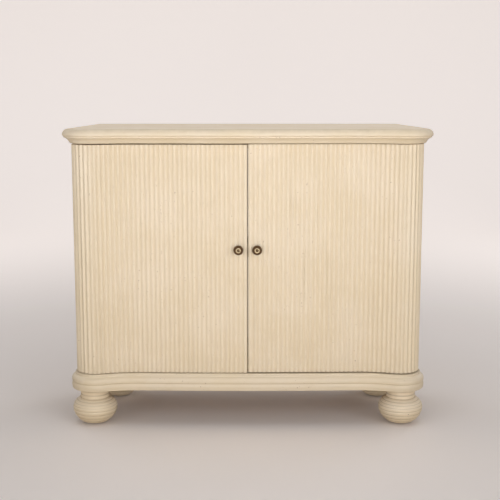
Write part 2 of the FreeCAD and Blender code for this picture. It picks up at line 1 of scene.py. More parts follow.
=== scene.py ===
# %% [markdown]
# # A painted buffet with a reeded, serpentine front
# The CAD model comes in first, as a fixed frame in metres. Each piece made below takes the place of a
# CAD node and rides on that node's body, so the doors still swing. Front is -Y, up is +Z.

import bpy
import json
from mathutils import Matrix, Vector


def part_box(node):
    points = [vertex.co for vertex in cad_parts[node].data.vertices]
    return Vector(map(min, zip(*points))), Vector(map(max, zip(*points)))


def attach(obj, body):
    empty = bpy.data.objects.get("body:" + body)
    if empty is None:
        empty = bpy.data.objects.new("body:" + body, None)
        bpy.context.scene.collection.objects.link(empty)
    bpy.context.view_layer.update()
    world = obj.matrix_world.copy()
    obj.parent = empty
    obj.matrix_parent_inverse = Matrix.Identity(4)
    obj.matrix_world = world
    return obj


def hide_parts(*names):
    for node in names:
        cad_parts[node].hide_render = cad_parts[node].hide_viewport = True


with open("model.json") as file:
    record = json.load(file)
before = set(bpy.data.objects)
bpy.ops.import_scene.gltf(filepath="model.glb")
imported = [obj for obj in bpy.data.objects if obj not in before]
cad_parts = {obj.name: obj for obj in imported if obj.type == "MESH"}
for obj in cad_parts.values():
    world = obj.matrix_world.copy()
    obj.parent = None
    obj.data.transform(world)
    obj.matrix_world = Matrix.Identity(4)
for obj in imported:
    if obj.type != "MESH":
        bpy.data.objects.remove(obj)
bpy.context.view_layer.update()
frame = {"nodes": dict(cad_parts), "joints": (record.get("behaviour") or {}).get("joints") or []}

import collections
import json
import math

import bmesh
import bpy
import numpy as np
from mathutils import Matrix, Vector

MM = 0.001
scene = bpy.context.scene

# %% [markdown]
# ## The plan line
# Seen from above, the front is a long shallow bow, a hollow on each side of it and a round corner at
# each end, and the sides draw in towards the back. Everything that runs round the buffet (reeds, top,
# mouldings) is parallel to this one line. It could be traced as a curve by hand, but four tangent
# stretches with a radius each say the same in few numbers, and any parallel line follows from them.

# %% Plan line
CORNER_RADIUS = 64 * MM
HOLLOW_RADIUS = 390 * MM
HOLLOW_RECESS = 22 * MM
BOW_RISE = 7 * MM
SIDE_TAPER = 51 * MM
TOP_OVERHANG = 28 * MM
QUARTER = math.pi / 2

top_low, top_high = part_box("top_board")
HALF_WIDTH = top_high.x - TOP_OVERHANG
CREST_Y = top_low.y + TOP_OVERHANG
CASE_BACK_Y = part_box("back_boards")[1].y
SIDE_ANGLE = math.atan(SIDE_TAPER / (CASE_BACK_Y - CREST_Y - CORNER_RADIUS))
SIDE_RUN = Vector((-math.sin(SIDE_ANGLE), math.cos(SIDE_ANGLE)))

Arc = collections.namedtuple("Arc", "centre radius bulge start end")


def plan_arcs():
    """The tangent arcs of the right half of the front, from the middle to the side."""
    corner = Vector((HALF_WIDTH - CORNER_RADIUS, CREST_Y + CORNER_RADIUS))
    reach = HOLLOW_RADIUS + CORNER_RADIUS
    run = math.sqrt(HOLLOW_RECESS * (2 * reach - HOLLOW_RECESS))
    hollow = Vector((corner.x - run, CREST_Y + HOLLOW_RECESS - HOLLOW_RADIUS))
    bow_radius = (hollow.x ** 2 + BOW_RISE ** 2) / (2 * BOW_RISE) - HOLLOW_RADIUS
    bow = Vector((0, CREST_Y + HOLLOW_RECESS - BOW_RISE + bow_radius))
    to_hollow = math.atan2(hollow.y - bow.y, hollow.x - bow.x)
    to_corner = math.atan2(corner.y - hollow.y, corner.x - hollow.x)
    return (
        Arc(bow, bow_radius, 1, -QUARTER, to_hollow),
        Arc(hollow, HOLLOW_RADIUS, -1, to_hollow + math.pi, to_corner),
        Arc(corner, CORNER_RADIUS, 1, to_corner - math.pi, SIDE_ANGLE),
    )


ARCS = plan_arcs()


def radius_at(arc, offset):
    return arc.radius + arc.bulge * offset


def arc_point(arc, offset, angle):
    return arc.centre + Vector((math.cos(angle), math.sin(angle))) * radius_at(arc, offset)


def arc_length(arc, offset):
    return radius_at(arc, offset) * abs(arc.end - arc.start)


def side_start(offset):
    return arc_point(ARCS[-1], offset, SIDE_ANGLE)


def side_run(offset, y):
    return (y - side_start(offset).y) / SIDE_RUN.y


def side_point(offset, y):
    return side_start(offset) + SIDE_RUN * side_run(offset, y)


def spot(offset, distance):
    """A point on the parallel line at an offset, a distance along it from the middle."""
    for arc in ARCS:
        if distance <= arc_length(arc, offset):
            turn = distance / radius_at(arc, offset)
            return arc_point(arc, offset, arc.start + math.copysign(turn, arc.end - arc.start))
        distance -= arc_length(arc, offset)
    return side_start(offset) + SIDE_RUN * distance


def side_distance(offset, y):
    return sum(arc_length(arc, offset) for arc in ARCS) + side_run(offset, y)


def mirrored(points):
    """The same stretch on the left, still running counter-clockwise as seen from above."""
    return [Vector((-point.x, point.y)) for point in reversed(points)]


ARC_STEPS = (60, 30, 44)
SIDE_STEPS = 24


def plan_ring(offset, y_end):
    """The whole line from the left back corner round the front to the right back corner."""
    right = []
    for arc, steps in zip(ARCS, ARC_STEPS):
        turns = [arc.start + (arc.end - arc.start) * step / steps for step in range(steps)]
        right += [arc_point(arc, offset, turn) for turn in turns]
    run = side_run(offset, y_end)
    right += [side_start(offset) + SIDE_RUN * run * step / SIDE_STEPS for step in range(SIDE_STEPS + 1)]
    return mirrored(right[1:]) + right


print("plan line:", round(2 * side_distance(0, CASE_BACK_Y), 3), "m round front and sides")

# %% [markdown]
# ## Outlines with memory
# Old paint is dirty in its grooves and rubbed through on its edges, and here the grooves get painted
# shade as well. A material can't see where a moulding is hollow, but the code that draws its outline can:
# it measures how sharply the outline turns at each point and keeps that as the attribute relief, from -1
# in a groove to 1 on an edge. Sharp corners are eased first, as a brush load of paint does.

# %% Outlines
ARC_TURN = math.radians(12)
LEAST_STEPS = 3
FULL_RELIEF = math.radians(26)
EASED_CORNER = math.radians(20)
EASED_PART = 3


def arc_run(start, end, bulge):
    """Points after start on the way to end; bulge is the rise of the arc as a share of its chord."""
    if not bulge:
        return [end]
    half_turn = 2 * math.atan(2 * bulge)
    chord = end - start
    radius = chord.length / (2 * math.sin(half_turn))
    along = chord.normalized()
    across = Vector((along.y, -along.x))
    steps = max(LEAST_STEPS, math.ceil(2 * abs(half_turn) / ARC_TURN))
    turns = [half_turn * (2 * step / steps - 1) for step in range(1, steps + 1)]
    middle = (start + end) / 2
    lift = math.cos(half_turn)
    return [middle + (along * math.sin(t) + across * (math.cos(t) - lift)) * radius for t in turns]


def outline(start, runs):
    """Points of an outline given as runs of (x, y, bulge)."""
    points = [Vector(start)]
    for x, y, bulge in runs:
        points += arc_run(points[-1], Vector((x, y)), bulge)
    return points


def turn_at(before, here, after):
    first, second = here - before, after - here
    if not first.length or not second.length:
        return 0.0
    return math.atan2(first.cross(second), first.dot(second))


def eased(points, ease, closed):
    """The outline with its sharp corners cut back a little, and the relief at each point."""
    count = len(points)
    soft = []
    for i, here in enumerate(points):
        if not closed and i in (0, count - 1):
            soft.append(here)
            continue
        before, after = points[i - 1], points[(i + 1) % count]
        if abs(turn_at(before, here, after)) < EASED_CORNER:
            soft.append(here)
            continue
        back = (before - here).normalized() * min(ease, (before - here).length / EASED_PART)
        on = (after - here).normalized() * min(ease, (after - here).length / EASED_PART)
        crown = (back + on) / 4  # the middle of a curve that is drawn towards the corner
        soft += [here + back, here + crown, here + on]
    relief = []
    for i, here in enumerate(soft):
        end = not closed and i in (0, len(soft) - 1)
        turn = 0 if end else turn_at(soft[i - 1], here, soft[(i + 1) % len(soft)])
        relief.append(max(-1.0, min(1.0, turn / FULL_RELIEF)))
    return soft, relief


square = [Vector((0, 0)), Vector((1, 0)), Vector((1, 1))]
square_relief = eased(square, 0.1, closed=False)[1]
print("relief round an eased square corner:", [round(value, 2) for value in square_relief])

# %% [markdown]
# ## Meshes and pieces
# Small helpers that every step below uses: one makes an object from points and faces, one keeps a value
# for each point, one shades round faces smoothly and leaves edges crisp, and one hands the piece to the
# frame: the body it rides on and the nodes it stands for.

# %% Mesh helpers
SMOOTH_ANGLE = math.radians(32)


def shaded(mesh):
    mesh.shade_smooth()
    mesh.set_sharp_from_angle(angle=SMOOTH_ANGLE)
    return mesh


def keep_values(mesh, name, values):
    attribute = mesh.attributes.new(name, "FLOAT", "POINT")
    attribute.data.foreach_set("value", np.asarray(values, np.float32))


def object_from(name, mesh):
    made = bpy.data.objects.new(name, mesh)
    scene.collection.objects.link(made)
    return made


def mesh_from(name, points, faces, edges=()):
    mesh = bpy.data.meshes.new(name)
    mesh.from_pydata([tuple(point) for point in points], list(edges), faces)
    mesh.update()
    return mesh


def settled(shell, mesh):
    """Writes an editing shell into a mesh, with all its faces turned outwards."""
    bmesh.ops.recalc_face_normals(shell, faces=shell.faces)
    shell.to_mesh(mesh)
    shell.free()
    return mesh


def outwards(mesh):
    shell = bmesh.new()
    shell.from_mesh(mesh)
    return settled(shell, mesh)


def hand_over(piece, body, slot, *nodes):
    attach(piece, body)
    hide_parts(*nodes)
    triangles = sum(len(face.vertices) - 2 for face in piece.data.polygons)
    print(f"{piece.name}: {triangles} triangles for {len(nodes)} node(s)")
    return piece


print("faces that meet below", round(math.degrees(SMOOTH_ANGLE)), "degrees are shaded as one")

# %% [markdown]
# ## Shader helpers
# A material is a graph of nodes. Written out one by one it is long and hard to read, so the first
# helpers place a node, set or link its inputs, and return the socket that is wanted next. The second
# lot makes groups: each finish of the buffet is a group that puts out a colour, a roughness and a
# height, and a material only has to place it and link these three to its shader.

# %% Shader helpers
def add(tree, kind, inputs=None, **properties):
    """A node whose inputs are set to values or linked to sockets."""
    node = tree.nodes.new(kind)
    for name, value in properties.items():
        setattr(node, name, value)
    for name, value in (inputs or {}).items():
        if isinstance(value, bpy.types.NodeSocket):
            tree.links.new(value, node.inputs[name])
        else:
            node.inputs[name].default_value = value
    return node


Noise = collections.namedtuple("Noise", "scale detail roughness")


def noise(tree, vector, kind):
    values = {"Vector": vector, "Scale": kind.scale, "Detail": kind.detail, "Roughness": kind.roughness}
    return add(tree, "ShaderNodeTexNoise", values).outputs["Fac"]


def stretched(tree, vector, scale):
    values = {"Vector": vector, "Scale": scale}
    return add(tree, "ShaderNodeMapping", values).outputs["Vector"]


def ramp(tree, value, low, high, to_low=0.0, to_high=1.0):
    """The value brought from one range to another, smoothly, and held at its ends."""
    values = {"Value": value, 1: low, 2: high, 3: to_low, 4: to_high}
    node = add(tree, "ShaderNodeMapRange", values, interpolation_type="SMOOTHSTEP")
    return node.outputs["Result"]


def arithmetic(tree, operation, first, second):
    return add(tree, "ShaderNodeMath", {0: first, 1: second}, operation=operation).outputs["Value"]


def times(tree, first, second):
    return arithmetic(tree, "MULTIPLY", first, second)


def plus(tree, first, second):
    return arithmetic(tree, "ADD", first, second)


def colour_input(colour):
    return colour if isinstance(colour, bpy.types.NodeSocket) else (*colour, 1)


def mixed(tree, share, first, second):
    """Two colours mixed; a colour is a socket or three numbers."""
    values = {0: share, 6: colour_input(first), 7: colour_input(second)}
    return add(tree, "ShaderNodeMix", values, data_type="RGBA").outputs[2]


def attribute(tree, name):
    return add(tree, "ShaderNodeAttribute", attribute_name=name).outputs["Fac"]


def place(tree):
    return add(tree, "ShaderNodeTexCoord").outputs["Object"]


print("shader helpers: noise, stretched, ramp, times, plus, mixed, attribute and place")

# %% Finish helpers
SOCKETS = {"vector": "NodeSocketVector", "value": "NodeSocketFloat", "colour": "NodeSocketColor"}
FINISH = {"Colour": "colour", "Roughness": "value", "Height": "value"}


def finish_group(name, inputs):
    """A group with named inputs that puts out a finish; returns its tree and what it is given."""
    tree = bpy.data.node_groups.new(name, "ShaderNodeTree")
    for direction, sockets in (("INPUT", inputs), ("OUTPUT", FINISH)):
        for label, kind in sockets.items():
            tree.interface.new_socket(label, in_out=direction, socket_type=SOCKETS[kind])
    return tree, tree.nodes.new("NodeGroupInput").outputs


def close_group(tree, colour, roughness, height):
    add(tree, "NodeGroupOutput", {"Colour": colour, "Roughness": roughness, "Height": height})
    return tree


def use_group(tree, group, inputs):
    return add(tree, "ShaderNodeGroup", inputs, node_tree=group).outputs


def new_material(name):
    """A material with its Principled shader, ready to be wired."""
    material = bpy.data.materials.new(name)
    material.use_nodes = True
    return material, material.node_tree, material.node_tree.nodes["Principled BSDF"]


def wire(tree, shader, finish, depth):
    """Links a finish to a shader; its height becomes a bump of this depth."""
    tree.links.new(finish["Colour"], shader.inputs["Base Color"])
    tree.links.new(finish["Roughness"], shader.inputs["Roughness"])
    bump = add(tree, "ShaderNodeBump", {"Height": finish["Height"], "Distance": depth})
    tree.links.new(bump.outputs["Normal"], shader.inputs["Normal"])


print("a finish gives:", ", ".join(FINISH))

# %% [markdown]
# ## Aged cream paint
# The buffet wears an old eggshell paint: cream, a little yellower in some places than in others, drawn
# out in fine brush streaks, brown in the hollows from dirt and painted shade, and chipped to the wood
# here and there. One node group makes that paint from noise at several scales and from the relief of the
# piece, and each painted material places it with its own brush direction and amount of dirt and painted
# shade. The next cells make its layers one by one. A noise that is read through a stretch has its scale
# there, and 1 here.

# %% Clean paint
CREAM = (0.790, 0.672, 0.516)
CREAM_PALE = (0.842, 0.732, 0.586)
CREAM_YELLOW = (0.735, 0.610, 0.424)
CLOUDS = Noise(5.5, 4, 0.55)
MOTTLE = Noise(34, 3, 0.60)
STROKES = Noise(1, 5, 0.62)
CLOUD_RANGE = (0.36, 0.66)
PLAIN_SHARE = 0.62
TONE_SHARE = 0.10
MOTTLE_RANGE = (0.50, 0.72)
MOTTLE_SHARE = 0.18
PALE_STROKES = (0.50, 0.68)
YELLOW_STROKES = (0.46, 0.30)
STROKE_SHARE = 0.14


def clean_paint(tree, clouds, mottle, strokes, tone):
    """Cream that is yellower in clouds and mottles, on some pieces, and between brush strokes."""
    colour = mixed(tree, ramp(tree, clouds, *CLOUD_RANGE), CREAM_YELLOW, CREAM_PALE)
    colour = mixed(tree, PLAIN_SHARE, colour, CREAM)
    colour = mixed(tree, ramp(tree, tone, 0, 1, 0, TONE_SHARE), colour, CREAM_YELLOW)
    colour = mixed(tree, ramp(tree, mottle, *MOTTLE_RANGE, 0, MOTTLE_SHARE), colour, CREAM_YELLOW)
    colour = mixed(tree, ramp(tree, strokes, *PALE_STROKES, 0, STROKE_SHARE), colour, CREAM_PALE)
    return mixed(tree, ramp(tree, strokes, *YELLOW_STROKES, 0, STROKE_SHARE), colour, CREAM_YELLOW)


sizes = [round(1 / kind.scale, 2) for kind in (CLOUDS, MOTTLE)]
print("clean paint: clouds of about", sizes[0], "m and mottles of about", sizes[1], "m")

# %% Crests and hollows
RUBBED = (0.880, 0.770, 0.610)
GRIME_AND_SHADE = (0.320, 0.244, 0.142)
CREST_RELIEF = (0.35, 1.0)
HOLLOW_RELIEF = (-0.10, -0.95)
RUBBED_PATCHES = (0.34, 0.62)
RUBBED_SHARE = 0.42
PATCH_MOTTLE = 0.6
SHADE_AND_DIRT_PATCHES = (0.55, 1.0)
SHADE_AND_DIRT_SHARES = (0.45, 1.0)


def rubbed_crests(tree, relief, mottle):
    """Where cloths have rubbed the paint: in patches, on the crests."""
    crest = times(tree, ramp(tree, relief, *CREST_RELIEF), ramp(tree, mottle, *RUBBED_PATCHES))
    return times(tree, crest, RUBBED_SHARE)


def dirt_and_shade_in_hollows(tree, relief, clouds, mottle):
    """Dirt and painted shade in the hollows, in some places more than in others."""
    patches = plus(tree, clouds, times(tree, mottle, PATCH_MOTTLE))
    patches = ramp(tree, patches, *SHADE_AND_DIRT_PATCHES, *SHADE_AND_DIRT_SHARES)
    return times(tree, ramp(tree, relief, *HOLLOW_RELIEF), patches)


print("paint is rubbed above relief", CREST_RELIEF[0], "and dirty below", HOLLOW_RELIEF[0])

# %% Shade near the floor, stains and chips
WOOD_SHOWING = (0.300, 0.185, 0.095)
LOW_SHADE_HEIGHT = (0.10, 0.25)
LOW_SHADE_PATCHES = (0.3, 0.7)
LOW_SHADE_SHARES = (0.7, 1.2)
STAINS = Noise(1, 2, 0.5)
STAIN_STRETCH = (0.35, 0.35, 0.35)
STAIN_RANGE = (0.62, 0.80)
STAIN_SHARE = 0.16
SPECKS = Noise(150, 2, 0.6)
CHIP_RANGE = (0.735, 0.765)
CHIP_PATCHES = (0.40, 0.62)
CHIP_ON_CRESTS = 0.06


def shade_and_dirt_near_floor(tree, where, clouds):
    """Painted shade and dirt near the floor, which fades out upwards."""
    level = add(tree, "ShaderNodeSeparateXYZ", {"Vector": where}).outputs["Z"]
    patches = ramp(tree, clouds, *LOW_SHADE_PATCHES, *LOW_SHADE_SHARES)
    return times(tree, ramp(tree, level, *LOW_SHADE_HEIGHT, 1, 0), patches)


def stained(tree, brush):
    """Long stains that run with the brush strokes."""
    runs = noise(tree, stretched(tree, brush, STAIN_STRETCH), STAINS)
    return ramp(tree, runs, *STAIN_RANGE, 0, STAIN_SHARE)


def chipped(tree, where, relief, clouds, amount):
    """Specks without paint, in patches and a little more on the crests."""
    chance = plus(tree, noise(tree, where, SPECKS), times(tree, relief, CHIP_ON_CRESTS))
    chip = times(tree, ramp(tree, chance, *CHIP_RANGE), amount)
    return times(tree, chip, ramp(tree, clouds, *CHIP_PATCHES))


print("splashes reach", LOW_SHADE_HEIGHT[1], "m up from the floor")

# %% Aged paint group
SHEEN_RANGE = (0.25, 0.75)
SHEEN = (0.40, 0.56)
HOLLOW_MATT = 0.18
STROKE_HEIGHT = 0.75
MOTTLE_HEIGHT = 0.25
PAINT_INPUTS = {
    "Place": "vector",
    "Brush": "vector",
    "Relief": "value",
    "Tone": "value",
    "Dirt": "value",
    "Splash": "value",
    "Chips": "value",
}


def aged_paint_group():
    tree, given = finish_group("aged_paint", PAINT_INPUTS)
    where, relief = given["Place"], given["Relief"]
    brush = stretched(tree, where, given["Brush"])
    clouds = noise(tree, where, CLOUDS)
    mottle = noise(tree, where, MOTTLE)
    strokes = noise(tree, brush, STROKES)
    hollow = dirt_and_shade_in_hollows(tree, relief, clouds, mottle)
    chip = chipped(tree, where, relief, clouds, given["Chips"])
    colour = clean_paint(tree, clouds, mottle, strokes, given["Tone"])
    colour = mixed(tree, rubbed_crests(tree, relief, mottle), colour, RUBBED)
    # painted shade and dirt: the hollows are mixed towards the dark grime colour
    colour = mixed(tree, times(tree, hollow, given["Dirt"]), colour, GRIME_AND_SHADE)
    # painted shade and dirt: the paint is darker towards the floor
    colour = mixed(tree, times(tree, shade_and_dirt_near_floor(tree, where, clouds), given["Splash"]), colour, GRIME_AND_SHADE)
    colour = mixed(tree, stained(tree, brush), colour, GRIME_AND_SHADE)
    colour = mixed(tree, chip, colour, WOOD_SHOWING)
    roughness = plus(tree, ramp(tree, mottle, *SHEEN_RANGE, *SHEEN), times(tree, hollow, HOLLOW_MATT))
    height = plus(tree, times(tree, strokes, STROKE_HEIGHT), times(tree, mottle, MOTTLE_HEIGHT))
    return close_group(tree, colour, roughness, arithmetic(tree, "SUBTRACT", height, chip))


AGED_PAINT = aged_paint_group()
print("aged paint:", len(AGED_PAINT.nodes), "nodes with the inputs", ", ".join(PAINT_INPUTS))

# %% Painted materials
PAINT_DEPTH = 0.25 * MM
# how much painted shade and dirt darkens the paint near the floor
FLOOR_SHADE_AND_DIRT = 0.17
UPRIGHT_BRUSH = (210, 210, 9)
LEVEL_BRUSH = (16, 60, 420)
ROUND_BRUSH = (60, 60, 300)
TOP_BRUSH = (9, 190, 190)


def cream_paint(name, brush, shade_and_dirt, chips, floor_shade_and_dirt=FLOOR_SHADE_AND_DIRT):
    material, tree, shader = new_material(name)
    finish = use_group(tree, AGED_PAINT, {
        "Place": place(tree),
        "Brush": brush,
        "Relief": attribute(tree, "relief"),
        "Tone": attribute(tree, "tone"),
        "Dirt": shade_and_dirt,
        "Splash": floor_shade_and_dirt,
        "Chips": chips,
    })
    wire(tree, shader, finish, PAINT_DEPTH)
    print(f"{name}: dirt {shade_and_dirt}, chips {chips}")
    return material


cream_reeds = cream_paint("cream_reeds", UPRIGHT_BRUSH, shade_and_dirt=0.40, chips=0.8)
cream_panels = cream_paint("cream_panels", UPRIGHT_BRUSH, shade_and_dirt=0.15, chips=0.6)
cream_mouldings = cream_paint("cream_mouldings", LEVEL_BRUSH, shade_and_dirt=0.45, chips=0.9)
cream_cove = cream_paint("cream_cove", LEVEL_BRUSH, shade_and_dirt=0.0, chips=0.9)
cream_feet = cream_paint("cream_feet", ROUND_BRUSH, shade_and_dirt=0.60, chips=0.9, floor_shade_and_dirt=0.0)
cream_top = cream_paint("cream_top", TOP_BRUSH, shade_and_dirt=0.34, chips=0.9)

# %% [markdown]
# ## Bare pine
# Back, shelf, bottom and the hidden rails are bare pine. Sawn pine shows the tree's rings as long
# wandering bands with a dark line at the end of each year. The bands are a sine of the distance across
# the board, bent by noise that is drawn out along the grain. Each board carries a value called tone,
# which shifts the pattern, so that no two boards look cut from the same place.

# %% Pine grain group
PINE_PALE = (0.560, 0.370, 0.190)
PINE_DARK = (0.360, 0.205, 0.090)
PINE_AGED = (0.430, 0.270, 0.130)
SWAY = Noise(1, 3, 0.5)
SWAY_STRETCH = (1.6, 9, 9)
FIBRE = Noise(1, 3, 0.6)
FIBRE_STRETCH = (14, 900, 900)
FIBRE_RANGE = (0.42, 0.70)
FIBRE_SHARE = 0.35
RINGS_PER_METRE = 115
RING_TILT = 0.35
RING_SWAY = 0.16
RING_SHARE = 0.62
LATE_WOOD = (0.15, 0.98)
AGED_RANGE = (0.35, 0.70)
AGED_SHARES = (0.15, 0.55)
PINE_SHEEN_RANGE = (0.3, 0.7)
PINE_SHEEN = (0.55, 0.72)
FIBRE_HEIGHT = 0.7
LATE_WOOD_HEIGHT = 0.3
TONE_SLIDE = 7.0


def pine_group():
    tree, given = finish_group("pine_grain", {"Grain": "vector", "Tone": "value"})
    slide = {"X": times(tree, given["Tone"], TONE_SLIDE), "Y": given["Tone"]}
    shift = add(tree, "ShaderNodeCombineXYZ", slide).outputs["Vector"]
    moved = add(tree, "ShaderNodeVectorMath", {0: given["Grain"], 1: shift}, operation="ADD")
    grain = moved.outputs["Vector"]
    sway = noise(tree, stretched(tree, grain, SWAY_STRETCH), SWAY)
    fibre = noise(tree, stretched(tree, grain, FIBRE_STRETCH), FIBRE)
    parts = add(tree, "ShaderNodeSeparateXYZ", {"Vector": grain}).outputs
    across = plus(tree, parts["Y"], times(tree, parts["Z"], RING_TILT))
    across = plus(tree, across, times(tree, sway, RING_SWAY))
    rings = arithmetic(tree, "SINE", times(tree, across, 2 * math.pi * RINGS_PER_METRE), 0.0)
    late = ramp(tree, rings, *LATE_WOOD)
    colour = mixed(tree, times(tree, late, RING_SHARE), PINE_PALE, PINE_DARK)
    colour = mixed(tree, ramp(tree, fibre, *FIBRE_RANGE, 0, FIBRE_SHARE), colour, PINE_DARK)
    colour = mixed(tree, ramp(tree, sway, *AGED_RANGE, *AGED_SHARES), colour, PINE_AGED)
    roughness = ramp(tree, fibre, *PINE_SHEEN_RANGE, *PINE_SHEEN)
    height = plus(tree, times(tree, fibre, FIBRE_HEIGHT), times(tree, late, LATE_WOOD_HEIGHT))
    return close_group(tree, colour, roughness, height)


PINE_GRAIN = pine_group()
print("pine grain:", len(PINE_GRAIN.nodes), "nodes,", RINGS_PER_METRE, "rings to the metre")

# %% Pine boards
PINE_DEPTH = 0.3 * MM


def pine(name, turn):
    """Pine whose grain, along the first axis of the pattern, is turned to the board's length."""
    material, tree, shader = new_material(name)
    grain = add(tree, "ShaderNodeMapping", {"Vector": place(tree), "Rotation": turn}).outputs["Vector"]
    finish = use_group(tree, PINE_GRAIN, {"Grain": grain, "Tone": attribute(tree, "tone")})
    wire(tree, shader, finish, PINE_DEPTH)
    return material


pine_across = pine("pine_across", (0, 0, 0))
pine_deep = pine("pine_deep", (0, 0, QUARTER))
pine_upright = pine("pine_upright", (0, QUARTER, 0))
print("pine:", pine_across.name, pine_deep.name, pine_upright.name)

# %% [markdown]
# ## Brass, steel and plastic
# Old brass goes brown where nobody touches it and stays bright where fingers rub. The knobs are very
# dark on the rim round the dish and bright in it, a painted reflection; the hinges are just dull, and the
# screws are zinc plated. One group mixes a bright and a tarnished colour by noise and by the relief of the
# piece, which on the knobs carries that painted reflection. Metallic is the same all over each metal, so it
# is set on the shader itself.

# %% Patina group
SPOTS = Noise(260, 4, 0.6)
SCRATCHES = Noise(1, 2, 0.5)
SCRATCH_STRETCH = (900, 120, 120)
RUBBED_AND_REFLECTING_RELIEF = (-0.5, 0.8)
SPOT_DULLNESS = 0.5
DULL_RANGE = (-0.35, 0.65)
METAL_SHEEN = (0.24, 0.52)
SCRATCH_MATT = 0.08
SPOT_HEIGHT = 0.4
SCRATCH_HEIGHT = 0.6
PATINA_INPUTS = {
    "Place": "vector",
    "Relief": "value",
    "Bright": "colour",
    "Tarnish": "colour",
    "Amount": "value",
}


def patina_group():
    tree, given = finish_group("patina", PATINA_INPUTS)
    spots = noise(tree, given["Place"], SPOTS)
    scratches = noise(tree, stretched(tree, given["Place"], SCRATCH_STRETCH), SCRATCHES)
    # on the knobs this relief carries a painted reflection; elsewhere it marks rubbed edges
    rubbed = ramp(tree, given["Relief"], *RUBBED_AND_REFLECTING_RELIEF)
    dull = plus(tree, given["Amount"], times(tree, spots, SPOT_DULLNESS))
    dull = ramp(tree, arithmetic(tree, "SUBTRACT", dull, rubbed), *DULL_RANGE)
    colour = mixed(tree, dull, given["Bright"], given["Tarnish"])
    roughness = plus(tree, ramp(tree, dull, 0, 1, *METAL_SHEEN), times(tree, scratches, SCRATCH_MATT))
    height = plus(tree, times(tree, spots, SPOT_HEIGHT), times(tree, scratches, SCRATCH_HEIGHT))
    return close_group(tree, colour, roughness, height)


PATINA = patina_group()
print("patina:", len(PATINA.nodes), "nodes with the inputs", ", ".join(PATINA_INPUTS))

# %% Metals
KNOB_BRIGHT = (0.430, 0.355, 0.220)
KNOB_TARNISH = (0.120, 0.072, 0.038)
HINGE_BRIGHT = (0.640, 0.460, 0.190)
HINGE_TARNISH = (0.260, 0.165, 0.060)
ZINC_BRIGHT = (0.620, 0.620, 0.600)
ZINC_TARNISH = (0.300, 0.285, 0.260)
METAL_DEPTH = 0.05 * MM


def metal(name, bright, tarnish, amount):
    material, tree, shader = new_material(name)
    finish = use_group(tree, PATINA, {
        "Place": place(tree),
        "Relief": attribute(tree, "relief"),
        "Bright": (*bright, 1),
        "Tarnish": (*tarnish, 1),
        "Amount": amount,
    })
    wire(tree, shader, finish, METAL_DEPTH)
    shader.inputs["Metallic"].default_value = 1.0
    print(f"{name}: tarnish {amount}")
    return material


antique_brass = metal("antique_brass", KNOB_BRIGHT, KNOB_TARNISH, amount=0.62)
dull_brass = metal("dull_brass", HINGE_BRIGHT, HINGE_TARNISH, amount=0.42)
zinc_steel = metal("zinc_steel", ZINC_BRIGHT, ZINC_TARNISH, amount=0.38)

# %% Plastic
CATCH_BROWN = (0.200, 0.110, 0.055)
CATCH_WORN = (0.270, 0.160, 0.085)
MOULD_GRAIN = Noise(700, 3, 0.6)
RUBS = Noise(60, 3, 0.6)
RUB_RANGE = (0.40, 0.70)
RUB_SHARE = 0.6
PLASTIC_SHEEN_RANGE = (0.3, 0.7)
PLASTIC_SHEEN = (0.38, 0.55)
PLASTIC_DEPTH = 0.05 * MM


def moulded_plastic(name, colour, worn):
    material, tree, shader = new_material(name)
    grain = noise(tree, place(tree), MOULD_GRAIN)
    rubs = noise(tree, place(tree), RUBS)
    tint = mixed(tree, ramp(tree, rubs, *RUB_RANGE, 0, RUB_SHARE), colour, worn)
    sheen = ramp(tree, rubs, *PLASTIC_SHEEN_RANGE, *PLASTIC_SHEEN)
    wire(tree, shader, {"Colour": tint, "Roughness": sheen, "Height": grain}, PLASTIC_DEPTH)
    return material


brown_plastic = moulded_plastic("brown_plastic", CATCH_BROWN, CATCH_WORN)
print("plastic:", brown_plastic.name)

# %% [markdown]
# ## Node trees that make geometry
# Mouldings, reeds and screws follow a path or repeat, so Geometry Nodes make them. A tree is built here
# once and used for several pieces, each with its own inputs. When its result is right, it is turned
# into a plain mesh, because the hand-over needs meshes that hold no modifier.

# %% Geometry node helpers
GEOMETRY_SOCKETS = {
    "geometry": "NodeSocketGeometry",
    "object": "NodeSocketObject",
    "material": "NodeSocketMaterial",
    "count": "NodeSocketInt",
    "value": "NodeSocketFloat",
}


def geometry_tree(name, inputs):
    tree = bpy.data.node_groups.new(name, "GeometryNodeTree")
    for label, kind in {"Path": "geometry", **inputs}.items():
        tree.interface.new_socket(label, in_out="INPUT", socket_type=GEOMETRY_SOCKETS[kind])
    tree.interface.new_socket("Geometry", in_out="OUTPUT", socket_type="NodeSocketGeometry")
    return tree, tree.nodes.new("NodeGroupInput").outputs


def close_tree(tree, geometry, material):
    whole = add(tree, "GeometryNodeRealizeInstances", {"Geometry": geometry}).outputs["Geometry"]
    painted = add(tree, "GeometryNodeSetMaterial", {"Geometry": whole, "Material": material})
    add(tree, "NodeGroupOutput", {"Geometry": painted.outputs["Geometry"]})
    return tree


def line_object(name, points, closed=False):
    """A bare line of points."""
    count = len(points)
    edges = [(i, (i + 1) % count) for i in range(count if closed else count - 1)]
    return object_from(name, mesh_from(name, points, [], edges))


def grown(name, path, tree, inputs):
    """Runs a tree on a path and returns the result as a plain mesh object."""
    modifier = path.modifiers.new(name, "NODES")
    modifier.node_group = tree
    for item in tree.interface.items_tree:
        if item.in_out == "INPUT" and item.name in inputs:
            modifier[item.identifier] = inputs[item.name]
    depsgraph = bpy.context.evaluated_depsgraph_get()
    mesh = bpy.data.meshes.new_from_object(path.evaluated_get(depsgraph))
    mesh.name = name
    path.modifiers.remove(modifier)
    bpy.data.objects.remove(path)
    return object_from(name, mesh)


print("a tree can take:", ", ".join(GEOMETRY_SOCKETS))

